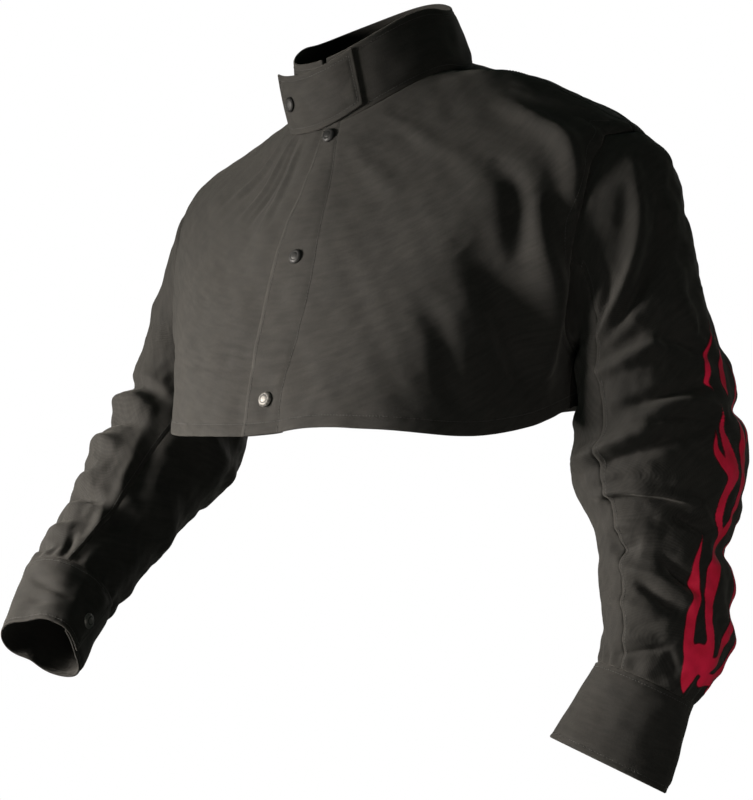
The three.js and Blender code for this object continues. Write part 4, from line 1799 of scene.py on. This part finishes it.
@dataclass
class Sleeve:
    """One sleeve, from the armhole to the cuff seam.

    Attributes:
        side: The wearer's side.
        sections: Its sections.
        folds: Its folds.
        swells: Its swells.
        seam: Degrees round to the seam that closes it.
        seam_gap: Degrees left open on each side of that seam.
        girth: Its length round, for the size of its cells.
        tuck: How far its form runs on into the body, to be cut off.
        plug: The stretch that cuts the body.
        armhole_fade: Folds die out within this distance of the armhole.
        cuff_fade: And within this distance of the cuff seam.
        gathers: Gathers round the cuff seam.
        gather_band: Distance of their middle from that seam, and their half width.
        gather_fade: They die out within this distance of the seam.
        seam_groove: The closing seam.
        armhole_groove: The armhole's seam.
        armhole_full: How far the cloth stands up beside it.
        armhole_band: Distance of that fullness from the seam, and its half width.
        armhole_pucker: How it puckers.
        seam_row: Distance of the row of stitches from the closing seam.
        row_start: Distance along where that row begins.
        sheet: Its outer face.
    """

    side: Side
    sections: SizeTable
    folds: FoldChart
    swells: tuple[Ripple, ...]
    seam: float
    seam_gap: float = 0.15
    girth: float = 420
    tuck: float = 70
    plug: float = 160
    armhole_fade: float = 30
    cuff_fade: float = 24
    gathers: Pucker = Pucker(1.3, 17, 1.7, 3)
    gather_band: tuple[float, float] = (7, 12)
    gather_fade: float = 4
    seam_groove: Groove = Groove(0.8, 2.6)
    armhole_groove: Groove = Groove(1.1, 3)
    armhole_full: float = 0.5
    armhole_band: tuple[float, float] = (8, 5)
    armhole_pucker: Pucker = Pucker(0.45, 29, 1.0, 4)
    seam_row: float = 5
    row_start: float = 20
    sheet: Sheet = field(init=False)

    def __post_init__(self) -> None:
        """Lays the sleeve's cloth over its form."""
        self.length = self.sections.last
        self.surface = SectionSurface(self.sections, self.side)
        us = spaced(self.seam - 360 + self.seam_gap, self.seam - self.seam_gap, self.girth, CELL)
        vs = spaced(-self.tuck, self.length, self.length + self.tuck, CELL)
        self.sheet = Sheet.over(self.surface, us, vs)
        self.sheet.lift(self.lift(self.sheet.around, self.sheet.along, self.sheet.points))
        upper = self.sheet.along[self.sheet.faces].max(axis=1) < self.plug
        plug = self.sheet.part(self.sheet.faces[upper])
        self.plug_tree = plug.tree()
        self.plug_box = (plug.points.min(axis=0), plug.points.max(axis=0))

    @property
    def node(self) -> str:
        """The CAD node that the sleeve stands for."""
        return f"sleeve_{self.side.name.lower()}"

    def lift(self, around: Array, along: Array, points: Array) -> Array:
        """How far the cloth stands out from the sleeve's form.

        Args:
            around: Degrees round.
            along: Distance along.
            points: The form's points there.

        Returns:
            The heights, in millimetres.
        """
        height = self.folds.lift(around, along) + swelling(self.swells, points)
        left = self.length - along
        height *= smoothstep(along, 0, self.armhole_fade) * smoothstep(left, 0, self.cuff_fade)
        gather = self.gathers.at(around, self.side.value)
        height += gather * bell(left, *self.gather_band) * smoothstep(left, 0, self.gather_fade)
        height -= self.seam_groove.at(turned(around, self.seam) * self.folds.mm_per_degree)
        return height

    def plug_distance(self, points: Array) -> Array:
        """Distances of points from the sleeve's upper end, below 0 inside it."""
        return side_distance(self.plug_tree, points, self.plug_box)

    def build(self, shop: Workshop, body: Sheet) -> Sheet:
        """Cuts the sleeve off at the body and makes it.

        Args:
            shop: What it is made with.
            body: The whole body's outer face.

        Returns:
            The cut sleeve's outer face.
        """
        sheet = self.sheet
        box = (body.points.min(axis=0), body.points.max(axis=0))
        upper = np.where(sheet.along < self.plug)[0]
        seam = np.full(len(sheet.points), FAR)
        seam[upper] = side_distance(body.tree(), sheet.points[upper], box)
        full = (self.armhole_full + self.armhole_pucker.at(sheet.around)) * bell(seam, *self.armhole_band)
        sheet.lift(full - self.armhole_groove.at(seam))
        sheet = sheet.clipped(seam + CLOTH)
        past = turned(sheet.around, self.seam) * self.folds.mm_per_degree
        sewn = (past < 0) & (sheet.along > self.row_start)
        lines = sheet.contour(np.where(sewn, np.abs(past), FAR), self.seam_row)
        rests = (f"front_{self.side.name.lower()}_cloth", "back_cloth")
        shop.cloth(self.node, sheet, lines, Pattern(SLEEVE_CUT, Hold.HUNG, rests))
        return sheet


@dataclass
class Cuff:
    """A cuff: a doubled band whose end laps over its start.

    Attributes:
        side: The wearer's side.
        sections: Its two ends.
        waves: Waves of its free edge.
        folds: Its folds.
        lap_at: Degrees round to the middle of the lap.
        lap: Degrees that the end runs over the start.
        edge: Its sewn edges.
        edge_fade: Folds die out within this distance of the edges.
        pucker: How its rows of stitches pucker.
        snap_at: The snap's place, as a share of the cuff's length.
        snap_wear: How rubbed the snap is.
    """

    side: Side
    sections: SizeTable
    waves: Triples
    folds: FoldChart
    lap_at: float = 192
    lap: float = 40
    edge: SewnEdge = SewnEdge(4.5, swell=0.35, full=10, depth=0.4)
    edge_fade: float = 12
    pucker: Pucker = Pucker(0.6, 31)
    snap_at: float = 0.62
    snap_wear: float = 1.2

    def __post_init__(self) -> None:
        """Sets up the cuff's form."""
        start = self.lap_at - self.lap / 2
        self.surface = CuffSurface(self.sections, self.side, self.waves, start + 360)
        self.low, self.high = start, start + 360 + self.lap
        self.swells = (Ripple(41 + self.side.value, 70, 0.7), Ripple(45 + self.side.value, 24, 0.22))

    @property
    def node(self) -> str:
        """The CAD node that the cuff stands for."""
        return f"cuff_{self.side.name.lower()}"

    def inset(self, around: Array, along: Array) -> Array:
        """Distances from the band's edges, in millimetres."""
        ends = np.minimum(around - self.low, self.high - around) * CUFF_DEGREE
        return edge_distance(ends, along, self.sections.last)

    def lift(self, around: Array, along: Array, points: Array) -> Array:
        """How far the cloth stands out from the cuff's form.

        Args:
            around: Degrees round.
            along: Distance along.
            points: The form's points there.

        Returns:
            The heights, in millimetres.
        """
        inset = self.inset(around, along)
        height = self.folds.lift(turned(around, 0), along) + swelling(self.swells, points)
        height *= smoothstep(inset, 0, self.edge_fade)
        return height + self.edge.lift(inset, 1 + self.pucker.at(around))

    def build(self, shop: Workshop) -> None:
        """Makes the cuff.

        Args:
            shop: What it is made with.
        """
        length = self.sections.last
        us = spaced(self.low, self.high, (self.high - self.low) * CUFF_DEGREE, FINE_CELL)
        sheet = Sheet.over(self.surface, us, spaced(CUFF_SEAM_GAP, length, length, FINE_CELL))
        sheet.lift(self.lift(sheet.around, sheet.along, sheet.points))
        lines = sheet.contour(self.inset(sheet.around, sheet.along), self.edge.row)
        rests = (f"sleeve_{self.side.name.lower()}_cloth",)
        shop.cloth(self.node, sheet, lines, Pattern(CUFF_CUT, Hold.STRETCHED, rests, Hem(DOUBLED)))

    def spot(self) -> Path:
        """The snap's place and outward direction."""
        along = self.sections.last * self.snap_at
        return spot_on(self.surface, self.lap_at + 360, along, self.lift)


@dataclass
class Collar:
    """The doubled stand-up collar.

    Attributes:
        end: Degrees between its front ends and the centre line.
        seat: Its height above the neck seam.
        edge: Its sewn edges.
        edge_fade: Swells die out within this distance of the edges.
        tab_middle: Degrees round to the middle of the tab.
        tab_reach: Degrees from there within which the collar lies flat, and where it is free.
        swells: Its swells.
    """

    end: float = 2
    seat: float = 0.4
    edge: SewnEdge = SewnEdge(5, swell=0.3, full=10, depth=0.4)
    edge_fade: float = 16
    tab_middle: float = -18
    tab_reach: tuple[float, float] = (44, 62)
    swells: tuple[Ripple, ...] = (Ripple(51, 90, 1.1), Ripple(52, 30, 0.25))

    def __post_init__(self) -> None:
        """Sets up the collar's form."""
        self.surface = RingSurface(COLLAR_RINGS, COLLAR_WAVES, 0, 1, self.seat)
        self.top = COLLAR_RINGS.last

    def build(self, shop: Workshop) -> None:
        """Makes the collar.

        Args:
            shop: What it is made with.
        """
        us = spaced(self.end, 360 - self.end, 360 * COLLAR_DEGREE, FINE_CELL)
        sheet = Sheet.over(self.surface, us, spaced(0, self.top, self.top, FINE_CELL))
        ends = np.minimum(sheet.around - self.end, 360 - self.end - sheet.around) * COLLAR_DEGREE
        inset = edge_distance(ends, sheet.along, self.top)
        height = swelling(self.swells, sheet.points) * smoothstep(inset, 0, self.edge_fade)
        free = smoothstep(np.abs(turned(sheet.around, self.tab_middle)), *self.tab_reach)
        height = height * free + self.edge.lift(inset)
        sheet.lift(np.where(free > 0, height, np.minimum(height, 0)))
        pattern = Pattern(COLLAR_CUT, Hold.STRETCHED, ("back_cloth",), Hem(DOUBLED))
        shop.cloth("collar", sheet, sheet.contour(inset, self.edge.row), pattern)


@dataclass
class ThroatTab:
    """The doubled strap over the collar's front ends.

    Attributes:
        surface: Its form.
        size: Its length and height, in millimetres.
        edge: Its sewn edges.
        edge_fade: Swells die out within this distance of the edges.
        snap: The snap's place, as shares of length and height.
        swells: Its swells.
    """

    surface: TabSurface
    size: tuple[float, float] = (122, 54)
    edge: SewnEdge = SewnEdge(4.5, swell=0.3, full=9, depth=0.35)
    edge_fade: float = 10
    snap: tuple[float, float] = (0.16, 0.5)
    swells: tuple[Ripple, ...] = (Ripple(61, 60, 0.5), Ripple(62, 22, 0.15))

    def lift(self, u: Array, v: Array, points: Array) -> Array:
        """How far the cloth stands out from the tab's form.

        Args:
            u: Shares of the length.
            v: Shares of the height.
            points: The form's points there.

        Returns:
            The heights, in millimetres.
        """
        inset = self.inset(u, v)
        height = np.abs(swelling(self.swells, points)) * smoothstep(inset, 0, self.edge_fade)
        return height + self.edge.lift(inset)

    def inset(self, u: Array, v: Array) -> Array:
        """Distances from the tab's edges, in millimetres."""
        ends = np.minimum(u, 1 - u) * self.size[0]
        return np.minimum(ends, np.minimum(v, 1 - v) * self.size[1])

    def build(self, shop: Workshop) -> None:
        """Makes the tab.

        Args:
            shop: What it is made with.
        """
        us, vs = (spaced(0, 1, length, TAB_CELL) for length in self.size)
        sheet = Sheet.over(self.surface, us, vs)
        sheet.lift(self.lift(sheet.around, sheet.along, sheet.points))
        lines = sheet.contour(self.inset(sheet.around, sheet.along), self.edge.row)
        pattern = Pattern(TAB_CUT, Hold.STRETCHED, ("collar_cloth",), Hem(DOUBLED))
        shop.cloth("collar_tab", sheet, lines, pattern)

    def spot(self) -> Path:
        """The snap's place and outward direction."""
        return spot_on(self.surface, *self.snap, self.lift)


@dataclass(frozen=True)
class SnapCap:
    """A domed snap cap with a rolled rim and a shallow ring round its crown.

    Attributes:
        profile: Radius and height of its outline, from the crown to the foot, and how rubbed it is.
        crown: How far its middle stands above its outline's start.
        sides: Sides of the cap.
    """

    profile: Triples = (
        (0.9, 3.38, 1.0), (2.2, 3.30, 1.0), (3.1, 3.12, 0.9), (3.6, 2.82, 0.2), (4.1, 2.80, 0.2),
        (4.5, 2.92, 0.8), (5.4, 2.70, 0.8), (6.2, 2.26, 0.6), (6.9, 1.66, 0.6), (7.3, 1.12, 0.9),
        (7.5, 0.70, 1.0), (7.5, 0.40, 0.6), (7.3, 0.14, 0.2), (7.0, 0.00, 0.0),
    )
    crown: float = 0.02
    sides: int = 44

    def build(self, node: str, spot: Path, shop: Workshop, wear: float = 0.1) -> None:
        """Sets a cap on the cloth.

        Args:
            node: The CAD node that it stands for.
            spot: Its place and outward direction.
            shop: What it is made with.
            wear: How much of its enamel is rubbed.
        """
        angle = np.arange(self.sides) * TAU / self.sides
        rings = []
        for radius, height, _ in self.profile:
            level = np.full(self.sides, height)
            rings.append(np.stack([np.cos(angle) * radius, np.sin(angle) * radius, level], axis=-1))
        ends = np.array([[0, 0, self.profile[0][1] + self.crown], [0, 0, 0]])
        points = np.concatenate([*rings, ends])
        rubbed = np.repeat([row[2] for row in self.profile], self.sides)
        n, last = self.sides, len(rings) - 1
        faces = []
        for i in range(n):
            j = (i + 1) % n
            faces += [(len(points) - 2, i, j), (len(points) - 1, j + last * n, i + last * n)]
            for k in range(0, last * n, n):
                faces += [(i + k, i + k + n, j + k + n), (i + k, j + k + n, j + k)]
        turn = np.array(Vector((0, 0, 1)).rotation_difference(Vector(spot.outward[0])).to_matrix())
        placed = points @ turn.T + spot.points[0] + spot.outward[0] * SNAP_GAP
        values = {"crown": np.concatenate([rubbed, [1.0, 0.0]]) * wear}
        finish = shop.finishes.snap
        piece = new_object(f"{node}_cap", placed, np.array(faces), finish, values=values)
        stand_for(piece, node)


@dataclass(frozen=True)
class FlamePrint:
    """Hot-rod flames printed up the outer side of a sleeve.

    Attributes:
        licks: Each flame's line from root to tip: degrees round, distance along, half width in millimetres.
        middle: Degrees round to the middle of the printed stretch.
        reach: Degrees to each side of it.
        start: Distance along to its start.
        end: Distance along to its end.
        soften: How softly flames run into each other, in millimetres.
        least: A flame's least half width.
        film: How far the print stands above the cloth.
        ink: Its thickness and edges.
        steps: Straight steps along a flame.
    """

    licks: tuple[Triples, ...] = (
        ((20, 448, 0.4), (24, 438, 6), (26, 426, 12), (22, 414, 12)),
        ((30, 420, 9), (36, 404, 7.5), (34, 384, 6), (27, 362, 6), (29, 338, 4.5), (24, 318, 2.6),
         (20, 299, 0.3)),
        ((16, 418, 9), (12, 400, 6.5), (16, 384, 6), (14, 364, 7), (9, 342, 10), (2, 322, 8),
         (-2, 306, 5), (4, 284, 5.5), (3, 262, 6.5), (-1, 240, 8.5), (5, 216, 7), (10, 198, 4.4),
         (6, 182, 2.4), (11, 166, 0.3)),
        ((0, 240, 6), (11, 228, 5), (18, 212, 3.4), (16, 194, 0.3)),
        ((-1, 308, 4.5), (-10, 290, 5), (-18, 266, 6), (-19, 240, 6.5), (-12, 216, 5.5),
         (-16, 194, 4), (-10, 174, 0.3)),
        ((10, 420, 8), (-2, 410, 5.5), (-10, 394, 6), (-24, 374, 6.5), (-32, 350, 6), (-27, 322, 5),
         (-36, 296, 3.4), (-32, 270, 0.3)),
        ((4, 430, 7), (-12, 424, 6), (-26, 410, 7), (-38, 388, 6), (-46, 358, 5), (-42, 330, 3.4),
         (-50, 304, 0.3)),
        ((-16, 434, 5), (-40, 430, 7), (-54, 410, 6), (-60, 384, 4), (-56, 358, 0.3)),
        ((-24, 214, 0.4), (-30, 196, 4.4), (-24, 174, 4), (-30, 152, 2.4), (-24, 132, 0.3)),
        ((10, 160, 0.4), (11, 146, 3.8), (5, 130, 2.8), (-8, 116, 1.6), (-14, 103, 0.3)),
        ((-4, 168, 0.4), (-5, 152, 5), (-11, 136, 4), (-22, 121, 2.2), (-28, 107, 0.3)),
    )
    middle: float = -14
    reach: float = 62
    start: float = 84
    end: float = 449
    soften: float = 1.6
    least: float = 0.2
    film: float = 0.25
    ink: Hem = Hem(0.2, 0.1)
    steps: int = 60

    def build(self, node: str, sleeve: Sheet, shop: Workshop) -> None:
        """Prints the flames on a sleeve.

        Args:
            node: The sleeve's CAD node.
            sleeve: The finished sleeve's outer face.
            shop: What it is made with.
        """
        around, along = turned(sleeve.around, 0)[sleeve.faces], sleeve.along[sleeve.faces]
        near = (np.abs(around - self.middle) < self.reach) & (along > self.start) & (along < self.end)
        cloth = sleeve.part(sleeve.faces[near.all(axis=1)]).halved()
        inset = self.inset(turned(cloth.around, 0), cloth.along)
        cloth.chart = np.concatenate([cloth.chart, inset[:, None]], axis=1)
        cloth = cloth.clipped(inset)
        points, faces, flat, _ = self.ink.shell(cloth, self.film)
        ends = np.unique(cloth.rim())
        values = {"inset": np.concatenate([cloth.chart[:, 2], cloth.chart[:, 2], cloth.chart[ends, 2]])}
        piece = new_object(f"{node}_flames", points, faces, shop.finishes.flame, flat, values)
        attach(piece, "root")

    def inset(self, around: Array, along: Array) -> Array:
        """How far places on the sleeve lie inside the flames' outline, in millimetres."""
        depths = (self._depth(lick, around, along) / self.soften for lick in self.licks)
        return self.soften * np.log(sum(np.exp(np.clip(depth, -40, 40)) for depth in depths))

    def _depth(self, line: Triples, around: Array, along: Array) -> Array:
        """How far places lie inside one flame.

        Args:
            line: The flame's line.
            around: Degrees round the sleeve.
            along: Distance along it.

        Returns:
            The depths, in millimetres.
        """
        rows = tuple((float(k), a * SLEEVE_DEGREE, b, w) for k, (a, b, w) in enumerate(line))
        path = SizeTable(("k", "x", "y", "w"), rows).at(np.linspace(0, len(rows) - 1, self.steps + 1))
        depth = np.full(around.shape, -FAR)
        for x, y, w in zip(path["x"], path["y"], path["w"]):
            distance = np.hypot(around * SLEEVE_DEGREE - x, along - y)
            depth = np.maximum(depth, max(w, self.least) - distance)
        return depth


@dataclass(frozen=True)
class Lamp:
    """A square soft light.

    Attributes:
        name: The light's name.
        place: Its place, in metres.
        aim: The point that it faces.
        size: Its side, in metres.
        watts: Its power.
        tint: Its colour.
        spread: How widely it shines, in degrees.
    """

    name: str
    place: Place
    aim: Place
    size: float
    watts: float
    tint: Colour
    spread: float = 180

    def build(self) -> None:
        """Adds the light."""
        lamp = bpy.data.lights.new(self.name, "AREA")
        lamp.energy = self.watts
        lamp.size = self.size
        lamp.color = self.tint
        lamp.spread = math.radians(self.spread)
        light = bpy.data.objects.new(self.name, lamp)
        light.location = self.place
        ahead = Vector(self.aim) - Vector(self.place)
        light.rotation_euler = ahead.to_track_quat("-Z", "Y").to_euler()
        bpy.context.scene.collection.objects.link(light)


PHOTO_MIDDLE = (-0.0156, -0.0113, -0.300)
LAMPS = (
    Lamp("key", (-0.84, -1.09, -0.20), (0.02, -0.20, -0.36), 0.5, 12, (1.0, 0.93, 0.86), 72),
    Lamp("fill", (-1.2, -2.3, 0.1), PHOTO_MIDDLE, 2.4, 2.4, (0.50, 1.0, 0.72)),
    Lamp("side", (1.7, -1.7, -0.9), (0.36, -0.1, -0.50), 0.9, 1.2, (1.0, 0.94, 0.88), 40),
    Lamp("top", (0.0, -0.9, 1.9), PHOTO_MIDDLE, 1.2, 1, (0.70, 1.0, 0.85)),
    Lamp("back", (-0.9, 2.3, 0.2), PHOTO_MIDDLE, 1.6, 16, (1.0, 0.96, 0.92)),
)


@dataclass(frozen=True)
class Studio:
    """Floor, backdrop, light and camera.

    Attributes:
        floor_z: The floor's height, in metres.
        floor_radius: The floor's radius.
        floor_sides: Its sides.
        backdrop_radius: The backdrop's radius.
        backdrop_sides: Its sides round and its rings.
        air: Colour of the light from all round.
        air_strength: Its strength.
        azimuth: The camera's angle from straight ahead to the wearer's left, in degrees.
        roll: How far the picture is turned anticlockwise, in degrees.
        distance: The camera's distance, in metres.
        lens: Focal length, in millimetres.
        target: The point that it looks at, in metres.
    """

    floor_z: float = -1.45
    floor_radius: float = 14.0
    floor_sides: int = 96
    backdrop_radius: float = 30.0
    backdrop_sides: tuple[int, int] = (64, 32)
    air: Colour = (0.60, 1.0, 0.80)
    air_strength: float = 0.032
    azimuth: float = 36
    roll: float = 1.5
    distance: float = 2.2
    lens: float = 99
    target: Place = PHOTO_MIDDLE

    def build(self) -> None:
        """Sets up the studio."""
        self._floor()
        self._camera()
        world = bpy.data.worlds.new("studio_air")
        world.use_nodes = True
        air = world.node_tree.nodes["Background"]
        air.inputs["Color"].default_value = (*self.air, 1)
        air.inputs["Strength"].default_value = self.air_strength
        bpy.context.scene.world = world
        bpy.context.scene.view_settings.view_transform = "Standard"
        for lamp in LAMPS:
            lamp.build()

    def _floor(self) -> None:
        """Makes the floor and the backdrop."""
        at = (0, 0, self.floor_z)
        sides, radius = self.floor_sides, self.floor_radius
        bpy.ops.mesh.primitive_circle_add(vertices=sides, radius=radius, fill_type="NGON", location=at)
        floor = bpy.context.object
        floor.name = "floor"
        floor.data.materials.append(FloorFinish().material())
        sides, rings = self.backdrop_sides
        radius = self.backdrop_radius
        bpy.ops.mesh.primitive_uv_sphere_add(segments=sides, ring_count=rings, radius=radius)
        backdrop = bpy.context.object
        backdrop.name = "backdrop"
        backdrop.data.materials.append(BackdropFinish().material())
        for piece in (floor, backdrop):
            piece.visible_diffuse = False
            piece.visible_glossy = False
        backdrop.visible_shadow = False

    def _camera(self) -> None:
        """Adds the camera at the photograph's angle."""
        angle = math.radians(self.azimuth)
        back = Vector((math.sin(angle), -math.cos(angle), 0))
        lens = bpy.data.cameras.new("camera")
        lens.lens = self.lens
        camera = bpy.data.objects.new("camera", lens)
        roll = Matrix.Rotation(math.radians(-self.roll), 3, "Z")
        facing = (-back).to_track_quat("-Z", "Y").to_matrix() @ roll
        place = Matrix.Translation(Vector(self.target) + back * self.distance)
        camera.matrix_world = place @ facing.to_4x4()
        bpy.context.scene.collection.objects.link(camera)
        bpy.context.scene.camera = camera


def main() -> None:
    """Builds the cape piece by piece."""
    logging.basicConfig(level=logging.INFO, format="%(message)s")
    shop = Workshop(Finishes())
    Studio().build()
    body = Body()
    panels = body.panels()
    sleeves = [
        Sleeve(side, sections, FoldChart(folds, SLEEVE_DEGREE), swells, seam)
        for side, sections, folds, swells, seam in (
            (Side.LEFT, LEFT_SECTIONS, LEFT_SLEEVE_FOLDS, LEFT_SLEEVE_SWELLS, LEFT_SEAM),
            (Side.RIGHT, RIGHT_SECTIONS, RIGHT_SLEEVE_FOLDS, RIGHT_SLEEVE_SWELLS, RIGHT_SEAM),
        )
    ]
    fronts = [body.panel(-body.lap, SIDE_SEAM), body.panel(-SIDE_SEAM, -body.lap)]
    whole = joined([*fronts, panels["back"]])
    body.build(shop, panels, sleeves)
    for sleeve in sleeves:
        FlamePrint().build(sleeve.node, sleeve.build(shop, whole), shop)
    cuffs = (
        Cuff(Side.LEFT, LEFT_CUFF, (), FoldChart(LEFT_CUFF_FOLDS, CUFF_DEGREE)),
        Cuff(Side.RIGHT, RIGHT_CUFF, RIGHT_CUFF_WAVES, FoldChart(RIGHT_CUFF_FOLDS, CUFF_DEGREE)),
    )
    for cuff in cuffs:
        cuff.build(shop)
        SnapCap().build(f"snap_{cuff.node}", cuff.spot(), shop, cuff.snap_wear)
    collar = Collar()
    collar.build(shop)
    tab = ThroatTab(TabSurface(collar.surface))
    tab.build(shop)
    SnapCap().build("snap_collar", tab.spot(), shop)
    for number, (down, wear) in enumerate(body.snaps, start=1):
        SnapCap().build(f"snap_front_{number}", body.spot(down), shop, wear)


if __name__ == "__main__":
    main()
